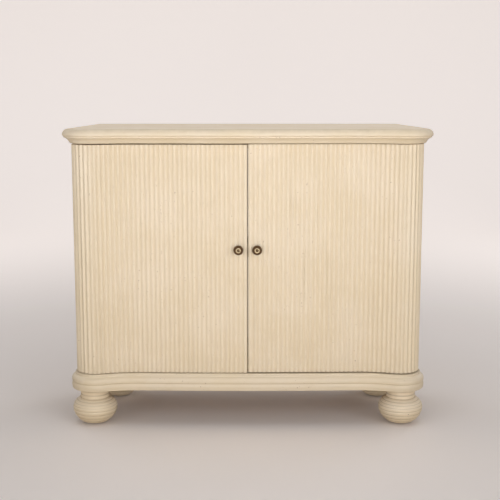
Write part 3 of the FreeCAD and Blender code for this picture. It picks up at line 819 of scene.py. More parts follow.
# %% [markdown]
# ## Cove moulding under the top
# The mouldings were run along the front with a moulding plane. The same happens here: a closed outline
# is swept along the plan line. A Curve object with a bevel would do it too, but it can't carry the
# relief of the outline into the mesh, and Curve to Mesh can. With Z-up normals on the path, x of the
# outline points outwards and y points down, so heights are written with a minus sign.

# %% Moulding tree
def moulding_tree():
    tree, given = geometry_tree("moulding", {"Outline": "object", "Material": "material"})
    path = add(tree, "GeometryNodeMeshToCurve", {"Mesh": given["Path"]}).outputs["Curve"]
    path = add(tree, "GeometryNodeSetCurveNormal", {"Curve": path}, mode="Z_UP").outputs["Curve"]
    shape = add(tree, "GeometryNodeObjectInfo", {"Object": given["Outline"]}).outputs["Geometry"]
    shape = add(tree, "GeometryNodeMeshToCurve", {"Mesh": shape}).outputs["Curve"]
    swept = add(tree, "GeometryNodeCurveToMesh", {"Curve": path, "Profile Curve": shape, "Fill Caps": True})
    return close_tree(tree, swept.outputs["Mesh"], given["Material"])


MOULDING = moulding_tree()
print("moulding tree:", len(MOULDING.nodes), "nodes")

# %% Running a moulding
CORNER_EASE = 1.2 * MM
SHADE_AND_DIRT_REACH = 1.4 * MM


def run_moulding(name, start, runs, material, shade_and_dirt_levels=()):
    """A moulding along front and sides; painted shade and dirt lie where its outline passes the given
    levels.
    """
    points, relief = eased(outline(start, runs), CORNER_EASE, closed=True)
    for i, point in enumerate(points):
        shade_and_dirt = [share for level, share in shade_and_dirt_levels if abs(point.y - level) < SHADE_AND_DIRT_REACH]
        relief[i] = -shade_and_dirt[0] if shade_and_dirt else max(relief[i], 0)
    reach = max(point.x for point in points)
    y_end = CASE_BACK_Y - reach * math.sin(SIDE_ANGLE)
    flat = [(point.x, -point.y, 0) for point in points]
    shape = line_object(name + "_outline", flat, closed=True)
    keep_values(shape.data, "relief", relief)
    path = line_object(name + "_path", [(*point, 0) for point in plan_ring(0, y_end)])
    piece = grown(name, path, MOULDING, {"Outline": shape, "Material": material})
    bpy.data.objects.remove(shape)
    shaded(outwards(piece.data))
    return piece


def scaled_runs(shares, projection, bottom, height):
    return [(projection * out, bottom + height * up, bulge) for out, up, bulge in shares]


print("mouldings have their corners eased by", round(CORNER_EASE / MM, 1), "mm")

# %% Cove moulding under the top
REED_HEIGHT = 4.5 * MM
REED_BASE = -REED_HEIGHT
BED_PROJECTION = 24 * MM
BED_SHARES = (
    (0.14, 0.00, 0.00),
    (0.26, 0.10, 0.10),
    (0.92, 0.80, -0.10),
    (1.00, 0.80, 0.00),
    (1.00, 1.00, 0.00),
)
BED_BOTTOM, BED_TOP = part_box("bed_moulding_front")[0].z, top_low.z
bed_runs = scaled_runs(BED_SHARES, BED_PROJECTION, BED_BOTTOM, BED_TOP - BED_BOTTOM)
bed_runs.append((REED_BASE, BED_TOP, 0))
cove = run_moulding("cove_moulding", (REED_BASE, BED_BOTTOM), bed_runs, cream_cove)
hand_over(cove, "cabinet", "cream_paint", "bed_moulding_front", "bed_moulding_left", "bed_moulding_right")

# %% [markdown]
# ## Plinth
# The plinth is the heavier moulding at the foot of the case: from the floor upwards a torus, a groove, a
# convex member, a cove and a bead. Its outline is written in shares of its height and projection, so a
# taller or bolder plinth needs one number. Under the doors, in the cove and in the groove the paint is
# darkened, painted shade with some dirt, so these levels are named and the moulding keeps them as relief.

# %% Plinth
PLINTH_PROJECTION = 17 * MM
PLINTH_INSET = 40 * MM
PLINTH_SHARES = (
    (0.84, 0.00, 0.00),
    (0.94, 0.08, 0.18),
    (0.87, 0.40, 0.10),
    (0.90, 0.43, 0.00),
    (1.00, 0.54, 0.12),
    (0.50, 0.80, 0.17),
    (0.30, 0.89, -0.20),
    (0.30, 0.92, 0.00),
    (0.12, 1.00, 0.18),
)
# painted shade and dirt at these levels: the shadow under the doors, the cove and the groove
PLINTH_SHADE_AND_DIRT = ((1.0, 1.0), (0.90, 0.55), (0.415, 0.35))
plinth_low, plinth_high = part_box("plinth_back")
PLINTH_BOTTOM, PLINTH_TOP = plinth_low.z, plinth_high.z
plinth_runs = scaled_runs(PLINTH_SHARES, PLINTH_PROJECTION, PLINTH_BOTTOM, PLINTH_TOP - PLINTH_BOTTOM)
plinth_runs.append((-PLINTH_INSET, PLINTH_TOP, 0))
shade_and_dirt_levels = [(PLINTH_BOTTOM + (PLINTH_TOP - PLINTH_BOTTOM) * up, share) for up, share in PLINTH_SHADE_AND_DIRT]
plinth_start = (-PLINTH_INSET, PLINTH_BOTTOM)
plinth = run_moulding("moulded_plinth", plinth_start, plinth_runs, cream_mouldings, shade_and_dirt_levels)
hand_over(plinth, "cabinet", "cream_paint", "plinth_front", "plinth_left", "plinth_right")

# %% [markdown]
# ## Reeds
# Doors and sides are covered with half-round beads, side by side. Each row is one reed, repeated along
# the plan line: the path is divided evenly and a copy stands at every division, turned to the path.
# Paint has softened the beads, so a power of a sine draws them instead of a half circle. The attribute
# relief is 1 on the crest, milder in the valley and -1 at both ends, so the paint is darker in the valleys
# and at the ends, with dirt and painted shade. Tone and depth differ a little from reed to reed, as
# lengths of beading from different sticks do.

# %% Reed tree
def reed_tree():
    inputs = {"Reed": "object", "Count": "count", "Seed": "count", "Uneven": "value", "Material": "material"}
    tree, given = geometry_tree("reeds", inputs)
    path = add(tree, "GeometryNodeMeshToCurve", {"Mesh": given["Path"]}).outputs["Curve"]
    stops = add(tree, "GeometryNodeResampleCurve", {"Curve": path, "Count": given["Count"]}).outputs["Curve"]
    along = add(tree, "GeometryNodeInputTangent").outputs["Tangent"]
    turn = add(tree, "FunctionNodeAlignRotationToVector", {"Vector": along}, axis="X", pivot_axis="Z")
    reed = add(tree, "GeometryNodeObjectInfo", {"Object": given["Reed"]}).outputs["Geometry"]
    least = arithmetic(tree, "SUBTRACT", 1.0, given["Uneven"])
    depths = {2: least, 3: 1.0, "Seed": given["Seed"]}
    depth = add(tree, "FunctionNodeRandomValue", depths, data_type="FLOAT")
    scale = add(tree, "ShaderNodeCombineXYZ", {"X": 1.0, "Y": depth.outputs[1], "Z": 1.0}).outputs["Vector"]
    row = add(tree, "GeometryNodeInstanceOnPoints", {
        "Points": stops,
        "Instance": reed,
        "Rotation": turn.outputs["Rotation"],
        "Scale": scale,
    }).outputs["Instances"]
    tone = add(tree, "FunctionNodeRandomValue", {"Seed": given["Seed"]}, data_type="FLOAT").outputs[1]
    kept = {"Geometry": row, "Name": "tone", "Value": tone}
    store = add(tree, "GeometryNodeStoreNamedAttribute", kept, data_type="FLOAT", domain="INSTANCE")
    return close_tree(tree, store.outputs["Geometry"], given["Material"])


REEDS = reed_tree()
print("reed tree:", len(REEDS.nodes), "nodes")

# %% One reed
REED_RISE = 4.0 * MM
REED_SOFTNESS = 1.4
REED_SEGMENTS = 14
REED_END_EASE = 2.5 * MM
VALLEY_RELIEF = -0.5


def stacked_faces(count, layers):
    """Faces of closed rings of points, one above the other, with a cap at each end."""
    last = count * (layers - 1)
    faces = [tuple(range(count))[::-1], tuple(range(last, last + count))]
    for low in range(0, last, count):
        for i in range(count):
            j = (i + 1) % count
            faces.append((low + i, low + j, low + count + j, low + count + i))
    return faces


def reed_object(width, height):
    """One reed: x along the path, -y outwards, standing on z 0; paint has filled its valleys."""
    floor_y = REED_RISE - REED_HEIGHT
    arc = [Vector((-width / 2, 0))]
    for step in range(REED_SEGMENTS + 1):
        share = step / REED_SEGMENTS
        swell = math.sin(math.pi * share) ** REED_SOFTNESS
        arc.append(Vector((width * (share - 0.5), floor_y - REED_RISE * swell)))
    arc.append(Vector((width / 2, 0)))
    levels = (0, REED_END_EASE, height - REED_END_EASE, height)
    swells = [max(0, 1 - (point.y + REED_HEIGHT) / REED_RISE) for point in arc]
    points, relief = [], []
    for level in levels:
        points += [(point.x, point.y, level) for point in arc]
        at_end = level in (0, height)
        # painted shade and dirt: the valleys and both ends of a reed get a low relief
        relief += [-1 if at_end else VALLEY_RELIEF + (1 - VALLEY_RELIEF) * swell for swell in swells]
    mesh = mesh_from("reed", points, stacked_faces(len(arc), len(levels)))
    keep_values(mesh, "relief", relief)
    return object_from("reed", shaded(outwards(mesh)))


print("a reed rises", round(REED_RISE / MM, 1), "mm above its valleys")

# %% Reed rows
REED_PITCH = 14.2 * MM
REED_UNEVEN = 0.05
PATH_STEP = 3 * MM
MEETING_GAP = 3 * MM
JOINT_MARGIN = 5 * MM
BACK_MARGIN = 6 * MM
HINGE_Y = frame["joints"][0]["pos_m"][1]
SIDES = ("left", "right")


def reed_row(name, node, body, first, last, left, seed):
    """Reeds from one distance along the plan line to another."""
    low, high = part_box(node)
    count = int((last - first) // REED_PITCH)
    pitch = (last - first) / count
    start, end = first + pitch / 2, last - pitch / 2
    steps = math.ceil((end - start) / PATH_STEP)
    points = [spot(REED_BASE, start + (end - start) * step / steps) for step in range(steps + 1)]
    points = mirrored(points) if left else points
    reed = reed_object(pitch, high.z - low.z)
    path = line_object(name + "_path", [(*point, low.z) for point in points])
    piece = grown(name, path, REEDS, {
        "Reed": reed,
        "Count": count,
        "Seed": seed,
        "Uneven": REED_UNEVEN,
        "Material": cream_reeds,
    })
    bpy.data.objects.remove(reed)
    shaded(piece.data)
    return hand_over(piece, body, "cream_paint", node)


def front_distance(offset, x):
    return radius_at(ARCS[0], offset) * math.asin(x / radius_at(ARCS[0], offset))


meeting_edge = front_distance(REED_BASE, MEETING_GAP / 2)
hinge_edges = [side_distance(REED_BASE, HINGE_Y + margin) for margin in (-JOINT_MARGIN, JOINT_MARGIN)]
back_edge = side_distance(REED_BASE, CASE_BACK_Y - BACK_MARGIN)
door_reach = (meeting_edge, hinge_edges[0])
side_reach = (hinge_edges[1], back_edge)
for number, side in enumerate(SIDES):
    is_left = side == "left"
    seeds = (number, number + len(SIDES))
    reed_row(f"{side}_door_beading", f"{side}_door_reeds", f"{side}_door", *door_reach, is_left, seeds[0])
    reed_row(f"{side}_side_beading", f"{side}_side_reeds", "cabinet", *side_reach, is_left, seeds[1])

# %% [markdown]
# ## Top board
# The top is one wide board whose front and side edges are rounded to a thumb nose. It is lofted from
# rings: each point of the nose gives one ring parallel to the plan line, closed along the back, and the
# first and last rings are capped. A swept nose with a separate flat would leave a seam inside the board.
# The paint along the upper edge of the nose is darkened as painted shade, so relief is lowest there and
# rises down the nose.

# %% Top board
NOSE_LOWER_RADIUS = 4 * MM
NOSE_PAINTED_SHADE = 1.1
NOSE_PAINTED_SHADE_DEPTH = 24 * MM
QUARTER_BULGE = math.tan(math.pi / 8) / 2
TOP_LEVEL, TOP_BACK_Y = top_high.z, top_high.y


def loft(name, points, relief, y_end):
    rings = [plan_ring(point.x, y_end) for point in points]
    count = len(rings[0])
    corners = [(*corner, point.y) for ring, point in zip(rings, points) for corner in ring]
    mesh = mesh_from(name, corners, stacked_faces(count, len(rings)))
    keep_values(mesh, "relief", [value for value in relief for _ in range(count)])
    return object_from(name, shaded(outwards(mesh)))


nose_root = TOP_OVERHANG - (TOP_LEVEL - BED_TOP - NOSE_LOWER_RADIUS)
nose = outline((nose_root, BED_TOP), [
    (TOP_OVERHANG - NOSE_LOWER_RADIUS, BED_TOP, 0),
    (TOP_OVERHANG, BED_TOP + NOSE_LOWER_RADIUS, QUARTER_BULGE),
    (nose_root, TOP_LEVEL, QUARTER_BULGE),
])
nose_points, nose_relief = eased(nose, CORNER_EASE, closed=False)
# painted shade on the upper rounding of the nose
for i, point in enumerate(nose_points):
    drop = TOP_LEVEL - point.y
    if 0 < drop < NOSE_PAINTED_SHADE_DEPTH:
        nose_relief[i] = -NOSE_PAINTED_SHADE * (1 - drop / NOSE_PAINTED_SHADE_DEPTH)
moulded_top = loft("moulded_top", nose_points, nose_relief, TOP_BACK_Y)
moulded_top.data.materials.append(cream_top)
hand_over(moulded_top, "cabinet", "cream_paint", "top_board")

# %% [markdown]
# ## Turned pieces
# Feet and knobs came off a lathe, so they are made as on a lathe: an outline from the axis out and back,
# spun round it. A Screw modifier spins too, but spinning in code keeps the relief of the outline, which
# puts painted shade into the grooves between the rings of a foot and a painted reflection on a knob,
# dark round the dish and bright in it.

# %% Lathe
ON_AXIS = 1e-7
FOOT_STEPS = 72
KNOB_STEPS = 48


def spun(name, points, relief, steps, seat, axis_turn=None):
    """A solid of revolution from (radius, height) points that start and end on the axis."""
    turn = axis_turn or Matrix.Identity(3)
    corners, values, faces, rings = [], [], [], []
    for point, value in zip(points, relief):
        around = 1 if point.x < ON_AXIS else steps
        rings.append((len(corners), around))
        for step in range(around):
            angle = 2 * math.pi * step / steps
            spoke = Vector((point.x * math.cos(angle), point.x * math.sin(angle), point.y))
            corners.append(seat + turn @ spoke)
            values.append(value)
    for (low, low_count), (high, high_count) in zip(rings, rings[1:]):
        for step in range(steps):
            on = (step + 1) % steps
            below = [low + here % low_count for here in (step, on)]
            above = [high + here % high_count for here in (on, step)]
            face = list(dict.fromkeys(below + above))
            if len(face) > 2:
                faces.append(face)
    mesh = mesh_from(name, corners, faces)
    keep_values(mesh, "relief", values)
    return object_from(name, shaded(outwards(mesh)))


print("lathe: feet turned in", FOOT_STEPS, "steps and knobs in", KNOB_STEPS)

# %% Bun feet
FOOT_RADIUS = 69.5 * MM
FOOT_BELLY = 56 * MM
FOOT_SOLE = 20 * MM
FOOT_NECK = 45.5 * MM
FOOT_NECK_HEIGHT = 85 * MM
FOOT_BEAD = 12 * MM
FOOT_RINGS = 9
RING_BULGE = 0.16
NECK_BULGE = 0.05
RING_EASE = 2.0 * MM
GROOVE_PAINTED_SHADE = 2.0
NECK_PAINTED_SHADOW = 9 * MM


def foot_outline():
    low = -math.acos(FOOT_SOLE / FOOT_RADIUS)
    high = math.acos(FOOT_NECK / FOOT_RADIUS)
    runs = [(FOOT_SOLE, 0, 0)]
    upper_rise = (FOOT_NECK_HEIGHT - FOOT_BELLY) / math.sin(high)
    lower_rise = FOOT_BELLY / math.sin(-low)
    for ring in range(1, FOOT_RINGS + 1):
        angle = low + (high - low) * ring / FOOT_RINGS
        rise = upper_rise if angle > 0 else lower_rise
        level = FOOT_BELLY + rise * math.sin(angle)
        runs.append((FOOT_RADIUS * math.cos(angle), level, RING_BULGE if ring > 1 else 0))
    runs.append((FOOT_NECK, FOOT_NECK_HEIGHT + FOOT_BEAD, NECK_BULGE))
    runs.append((FOOT_NECK, PLINTH_BOTTOM, NECK_BULGE))
    runs.append((0, PLINTH_BOTTOM, 0))
    points, relief = eased(outline((0, 0), runs), RING_EASE, closed=False)
    for i, point in enumerate(points):
        # painted shade: the grooves between the rings and the top of the neck under the plinth are darkened
        if relief[i] < 0:
            relief[i] = max(-1, relief[i] * GROOVE_PAINTED_SHADE)
        if point.y > PLINTH_BOTTOM - NECK_PAINTED_SHADOW:
            relief[i] = -1
    return points, relief


foot_points, foot_relief = foot_outline()
for corner in ("front_left", "front_right", "back_left", "back_right"):
    low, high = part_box(corner + "_foot")
    seat = Vector(((low.x + high.x) / 2, (low.y + high.y) / 2, 0))
    bun = spun(corner + "_bun", foot_points, foot_relief, FOOT_STEPS, seat)
    bun.data.materials.append(cream_feet)
    hand_over(bun, "cabinet", "cream_paint", corner + "_foot")

# %% [markdown]
# ## Brass knobs
# Each knob is a small turned pull: a neck that flares out, a rounded rim, a dish inside the rim and a
# little boss in its middle, standing on a flat rose. The dish catches the light and the ring round it is
# nearly black. The outline makes most of that, and the relief of each zone adds a painted reflection: the
# brass of the dish a little brighter than the rest, the rim darker.

# %% Knobs and roses
KNOB_RADIUS = 14.2 * MM
KNOB_NECK = 6 * MM
KNOB_HEAD = 12 * MM
KNOB_RIM = 6 * MM
KNOB_DISH = 3 * MM
# relief of each knob zone, a painted reflection: dark rim, bright dish
KNOB_PAINTED_REFLECTION = {"rim": -1, "dish": 0.34, "boss": 0.1}
KNOB_BOSS = 4.5 * MM
KNOB_BOSS_RISE = 0.8 * MM
ROSE_THICKNESS = 4 * MM
ROSE_EDGE = 2.5 * MM
KNOB_EASE = 0.5 * MM
FORWARD = Matrix.Rotation(QUARTER, 3, "X")


def knob_outline(base, tip):
    head_back = tip - KNOB_HEAD
    rim_top = tip - KNOB_BOSS_RISE
    dish = rim_top - KNOB_DISH
    boss_share = math.tan(math.atan((tip - dish) / KNOB_BOSS) / 2) / 2
    runs = [
        (KNOB_NECK, base, 0),
        (KNOB_RADIUS, head_back, -QUARTER_BULGE),
        (KNOB_RADIUS - KNOB_RIM / 2, rim_top, QUARTER_BULGE),
        (KNOB_RADIUS - KNOB_RIM, dish, QUARTER_BULGE / 2),
        (KNOB_BOSS, dish, 0),
        (0, tip, boss_share),
    ]
    points, _ = eased(outline((0, base), runs), KNOB_EASE, closed=False)
    return points, [KNOB_PAINTED_REFLECTION[knob_zone(point, head_back)] for point in points]


def knob_zone(point, head_back):
    """Which zone of the knob a point of its outline is in; a painted reflection keeps only the dish bright.
    """
    if point.y < head_back or point.x > KNOB_RADIUS - KNOB_RIM:
        return "rim"
    return "dish" if point.x > KNOB_BOSS else "boss"


def rose_outline(radius):
    runs = [(radius, 0, 0), (radius - ROSE_EDGE, ROSE_THICKNESS, QUARTER_BULGE), (0, ROSE_THICKNESS, 0)]
    return eased(outline((0, 0), runs), KNOB_EASE, closed=False)


for side in SIDES:
    rose_low, rose_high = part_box(side + "_knob_rose")
    middle = (rose_low + rose_high) / 2
    seat = Vector((middle.x, rose_high.y, middle.z))
    tip = rose_high.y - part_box(side + "_knob")[0].y
    rose = spun(side + "_rose", *rose_outline((rose_high.x - rose_low.x) / 2), KNOB_STEPS, seat, FORWARD)
    pull = spun(side + "_pull", *knob_outline(ROSE_THICKNESS, tip), KNOB_STEPS, seat, FORWARD)
    for piece, node in ((rose, side + "_knob_rose"), (pull, side + "_knob")):
        piece.data.materials.append(antique_brass)
        hand_over(piece, side + "_door", "knob_brass", node)

# %% [markdown]
# ## Boards
# Shelf, rails, cleats and back are plain boards. Each is its outline seen from above, raised to its
# thickness, with every edge broken by a small bevel, because a knife-sharp edge looks unreal. A Bevel
# modifier would do, but here several boards share one mesh and each keeps a tone of its own. The back
# is six upright boards whose bevels show as a row of fine grooves.

# %% Boards
GLUE_LINE = 0.15 * MM
PANEL_THICKNESS = 20 * MM
PANEL_BACK = REED_BASE - GLUE_LINE - PANEL_THICKNESS
BEVEL_SEGMENTS = 2
BEVEL_PROFILE = 0.6
BOARD_TONES = (0.37, 0.13)


def new_points(extruded):
    return [item for item in extruded["geom"] if isinstance(item, bmesh.types.BMVert)]


def board(shell, corners, bottom, top, edge):
    """Adds one board to a shell: an outline raised from bottom to top, its edges broken."""
    base = shell.faces.new([shell.verts.new((*corner, bottom)) for corner in corners])
    lifted = new_points(bmesh.ops.extrude_face_region(shell, geom=[base]))
    bmesh.ops.translate(shell, verts=lifted, vec=(0, 0, top - bottom))
    edges = {side for vert in list(base.verts) + lifted for side in vert.link_edges}
    bmesh.ops.bevel(
        shell,
        geom=list(edges),
        offset=edge,
        segments=BEVEL_SEGMENTS,
        profile=BEVEL_PROFILE,
        affect="EDGES",
    )


def boards(name, node, slabs, edge, material):
    """A piece of one or more boards, given as (corners, bottom, top), each with its own tone."""
    shell = bmesh.new()
    tone = shell.verts.layers.float.new("tone")
    for number, (corners, bottom, top) in enumerate(slabs):
        known = set(shell.verts)
        board(shell, corners, bottom, top, edge)
        for vert in shell.verts:
            if vert not in known:
                vert[tone] = (number * BOARD_TONES[0] + len(name) * BOARD_TONES[1]) % 1
    mesh = settled(shell, bpy.data.meshes.new(name))
    mesh.materials.append(material)
    return hand_over(object_from(name, shaded(mesh)), "cabinet", "bare_wood", node)


print("panels are", round(PANEL_THICKNESS / MM), "mm thick behind their reeds")

# %% Shelf, cleats and rails
BOARD_EDGE = 0.8 * MM
SHELF_EDGE = 2.5 * MM
SHELF_PLAY = 0.5 * MM
CLEAT_SIZE = 20 * MM


def between_sides(offset, y_low, y_high):
    right = [side_point(offset, y) for y in (y_low, y_high)]
    return right + mirrored(right)


def along_side(inner, outer, y_low, y_high, left):
    corners = [side_point(outer, y) for y in (y_low, y_high)]
    corners += [side_point(inner, y) for y in (y_high, y_low)]
    return mirrored(corners) if left else corners


low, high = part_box("shelf")
shelf_corners = between_sides(PANEL_BACK - SHELF_PLAY, low.y, high.y)
boards("shelf_board", "shelf", [(shelf_corners, low.z, high.z)], SHELF_EDGE, pine_across)
for side in SIDES:
    low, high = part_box(side + "_shelf_cleat")
    corners = along_side(PANEL_BACK - CLEAT_SIZE, PANEL_BACK, low.y, high.y, side == "left")
    boards(side + "_cleat", side + "_shelf_cleat", [(corners, low.z, high.z)], BOARD_EDGE, pine_deep)
for name, node, offset in (
    ("rear_rail", "back_rail", PANEL_BACK),
    ("rear_plinth", "plinth_back", -PLINTH_INSET - GLUE_LINE),
):
    low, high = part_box(node)
    corners = between_sides(offset, low.y, high.y)
    boards(name, node, [(corners, low.z, high.z)], BOARD_EDGE, pine_across)

# %% Back boards
BACK_BOARDS = 6
BACK_GAP = 0.6 * MM
low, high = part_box("back_boards")
pitch = (high.x - low.x + BACK_GAP) / BACK_BOARDS
slabs = []
for number in range(BACK_BOARDS):
    left_x = low.x + pitch * number
    right_x = left_x + pitch - BACK_GAP
    corners = ((left_x, low.y), (right_x, low.y), (right_x, high.y), (left_x, high.y))
    slabs.append((corners, low.z, high.z))
boards("upright_back_boards", "back_boards", slabs, BOARD_EDGE, pine_upright)

# %% [markdown]
# ## Pieces carried over from the CAD
# Panels, hinges, catches and blocks already have their true shape in the CAD, with their mortises and
# holes. A copy of the mesh keeps that shape. It comes as loose triangles, so the copy is welded first,
# and then round faces are shaded smoothly and sharp edges stay sharp.

# %% Carried-over pieces
WELD = 0.002 * MM
PIECE_TONES = 17


def carried(node, body, slot, material):
    mesh = frame["nodes"][node].data.copy()
    shell = bmesh.new()
    shell.from_mesh(mesh)
    bmesh.ops.remove_doubles(shell, verts=shell.verts, dist=WELD)
    shell.to_mesh(mesh)
    shell.free()
    mesh.normals_split_custom_set([(0, 0, 0)] * len(mesh.loops))
    mesh.materials.clear()
    mesh.materials.append(material)
    tone = (sum(map(ord, node)) % PIECE_TONES) / PIECE_TONES
    keep_values(mesh, "tone", [tone] * len(mesh.vertices))
    return hand_over(object_from(node + "_piece", shaded(mesh)), body, slot, node)


for side in SIDES:
    door = side + "_door"
    carried(door + "_panel", door, "cream_paint", cream_panels)
    carried(door + "_hinge_leaves", door, "hinge_brass", dull_brass)
    carried(side + "_knob_bolt", door, "steel", zinc_steel)
    carried(side + "_strike_plate", door, "steel", zinc_steel)
    carried(side + "_side_panel", "cabinet", "cream_paint", cream_panels)
    carried(side + "_hinge_leaves", "cabinet", "hinge_brass", dull_brass)
    carried(side + "_hinge_pins", "cabinet", "hinge_brass", dull_brass)
    carried(side + "_catch_case", "cabinet", "catch_plastic", brown_plastic)
    for row in ("front", "back"):
        carried(f"{row}_{side}_foot_block", "cabinet", "bare_wood", pine_across)
for node in ("case_top", "bottom_board"):
    carried(node, "cabinet", "bare_wood", pine_across)
for node in ("catch_poles", "foot_bolts"):
    carried(node, "cabinet", "steel", zinc_steel)

# %% [markdown]
# ## Screws
# There are some seventy slotted screws. Where each one sits is read from its CAD solid: the long axis of
# the solid is the screw's axis, and the wider end is its head. A tree then puts one slotted head on each
# of these points. Real slots never line up, so every head is turned by a random angle with a fixed seed.

# %% Screw places
def islands(mesh):
    """Point clouds of the separate solids of a mesh."""
    shell = bmesh.new()
    shell.from_mesh(mesh)
    bmesh.ops.remove_doubles(shell, verts=shell.verts, dist=WELD)
    left = dict.fromkeys(shell.verts)
    clouds = []
    while left:
        joined = [left.popitem()[0]]
        for vert in joined:
            near = [side.other_vert(vert) for side in vert.link_edges]
            fresh = [other for other in near if other in left]
            for other in fresh:
                del left[other]
            joined += fresh
        clouds.append(np.array([vert.co for vert in joined]))
    shell.free()
    return sorted(clouds, key=lambda cloud: tuple(np.round(cloud.mean(0), 5)))


def screw_head(cloud):
    """Middle of the head, outward direction and head radius of one screw."""
    middle = (cloud.min(0) + cloud.max(0)) / 2
    axes = np.linalg.svd(cloud - cloud.mean(0), full_matrices=False)[2]
    axis = max(axes, key=lambda direction: np.ptp((cloud - middle) @ direction))
    depth = (cloud - middle) @ axis
    radius = np.linalg.norm(cloud - middle - np.outer(depth, axis), axis=1)
    axis = axis if depth[radius.argmax()] > 0 else -axis
    return Vector(middle + axis * np.abs(depth).max()), Vector(axis), float(radius.max())


screw_heads = {}
for node in frame["nodes"]:
    if node.endswith("_screws"):
        screw_heads[node] = [screw_head(cloud) for cloud in islands(frame["nodes"][node].data)]
print("screws:", sum(map(len, screw_heads.values())), "in", len(screw_heads), "nodes")

# %% Screw tree
def screw_tree():
    tree, given = geometry_tree("screws", {"Head": "object", "Seed": "count", "Material": "material"})
    points = add(tree, "GeometryNodeMeshToPoints", {"Mesh": given["Path"]}).outputs["Points"]
    aim = add(tree, "GeometryNodeInputNamedAttribute", {"Name": "aim"}, data_type="FLOAT_VECTOR").outputs[0]
    size = add(tree, "GeometryNodeInputNamedAttribute", {"Name": "size"}, data_type="FLOAT").outputs[0]
    turn = add(tree, "FunctionNodeAlignRotationToVector", {"Vector": aim}, axis="Z").outputs["Rotation"]
    half_turn = {2: 0.0, 3: math.pi, "Seed": given["Seed"]}
    angle = add(tree, "FunctionNodeRandomValue", half_turn, data_type="FLOAT").outputs[1]
    spin = add(tree, "ShaderNodeCombineXYZ", {"Z": angle}).outputs["Vector"]
    twist = add(tree, "FunctionNodeEulerToRotation", {"Euler": spin}).outputs["Rotation"]
    both = {"Rotation": turn, "Rotate By": twist}
    turn = add(tree, "FunctionNodeRotateRotation", both, rotation_space="LOCAL").outputs["Rotation"]
    head = add(tree, "GeometryNodeObjectInfo", {"Object": given["Head"]}).outputs["Geometry"]
    copies = add(tree, "GeometryNodeInstanceOnPoints", {
        "Points": points,
        "Instance": head,
        "Rotation": turn,
        "Scale": size,
    })
    return close_tree(tree, copies.outputs["Instances"], given["Material"])


SCREWS = screw_tree()
print("screw tree:", len(SCREWS.nodes), "nodes")

# %% Slotted heads
HEAD_STEPS = 20
SLOT_HALF_WIDTH = 0.16
SLOT_DEPTH = 0.40
HEAD_DEPTH = 0.50
HEAD_LIFT = 0.12 * MM
CUT_NEAR = 1e-6


def slotted_head():
    """A head of radius 1 whose face is at z 0, with a slot across it."""
    shell = bmesh.new()
    bmesh.ops.create_circle(shell, cap_ends=True, radius=1, segments=HEAD_STEPS)
    for y in (-SLOT_HALF_WIDTH, SLOT_HALF_WIDTH):
        whole = shell.verts[:] + shell.edges[:] + shell.faces[:]
        bmesh.ops.bisect_plane(shell, geom=whole, plane_co=(0, y, 0), plane_no=(0, 1, 0), dist=CUT_NEAR)
    slot = [face for face in shell.faces if abs(face.calc_center_median().y) < SLOT_HALF_WIDTH / 2]
    sunk = new_points(bmesh.ops.extrude_face_region(shell, geom=slot))
    bmesh.ops.delete(shell, geom=slot, context="FACES_ONLY")
    bmesh.ops.translate(shell, verts=sunk, vec=(0, 0, -SLOT_DEPTH))
    rim = [edge for edge in shell.edges if edge.is_boundary]
    for vert in new_points(bmesh.ops.extrude_edge_only(shell, edges=rim)):
        vert.co.z = -HEAD_DEPTH
    return object_from("slotted_head", settled(shell, bpy.data.meshes.new("slotted_head")))


def screws(name, body, slot, material, nodes, seed):
    heads = [head for node in nodes for head in screw_heads[node]]
    mesh = mesh_from(name, [middle + aim * HEAD_LIFT for middle, aim, _ in heads], [])
    aims = mesh.attributes.new("aim", "FLOAT_VECTOR", "POINT")
    aims.data.foreach_set("vector", [number for _, aim, _ in heads for number in aim])
    keep_values(mesh, "size", [radius for *_, radius in heads])
    head = slotted_head()
    places = object_from(name + "_places", mesh)
    piece = grown(name, places, SCREWS, {"Head": head, "Seed": seed, "Material": material})
    bpy.data.objects.remove(head)
    shaded(piece.data)
    return hand_over(piece, body, slot, *nodes)


steel_kinds = ("catch", "shelf", "cleat", "back_board", "top", "case")
steel_nodes = [kind + "_screws" for kind in steel_kinds]
screws("steel_screw_heads", "cabinet", "steel", zinc_steel, steel_nodes, seed=5)
screws("hinge_screw_heads", "cabinet", "hinge_brass", dull_brass, ["hinge_screws"], seed=6)
for side in SIDES:
    door_nodes = [side + "_door_screws"]
    screws(side + "_door_screw_heads", side + "_door", "hinge_brass", dull_brass, door_nodes, seed=7)

# %% [markdown]
# ## Floor and backdrop
# The buffet stands on a plain pale floor that curves up into a backdrop, so no corner shows behind it.
# The floor looks pale to the camera and in the brass, but gives less light back to the buffet, as a
# darker floor would, so the feet are darker than the top. Light Path tells these two kinds of ray apart.
# Away from the buffet the stage glows a little, which keeps it pale and leaves the shadow on the floor.

# %% Floor and backdrop
FLOOR_HALF = 10.0
FLOOR_FRONT = -10.0
COVE_START = 4.0
COVE_RADIUS = 2.5
WALL_HEIGHT = 7.0
COVE_STEPS = 24
GLOW_NEAR = 0.7
GLOW_FAR = 4.5
STAGE_GLOW = (0.520, 0.482, 0.472)
STAGE_SEEN = (0.940, 0.885, 0.870)
STAGE_BOUNCE = (0.600, 0.480, 0.310)
STAGE_ROUGHNESS = 0.9
STAGE_SPECULAR = 0.1


def looked_at(tree):
    """1 for what the camera sees, straight or in a reflection, and 0 for light on its way."""
    path = add(tree, "ShaderNodeLightPath").outputs
    seen = arithmetic(tree, "MAXIMUM", path["Is Camera Ray"], path["Is Glossy Ray"])
    return arithmetic(tree, "MAXIMUM", seen, path["Is Transmission Ray"])


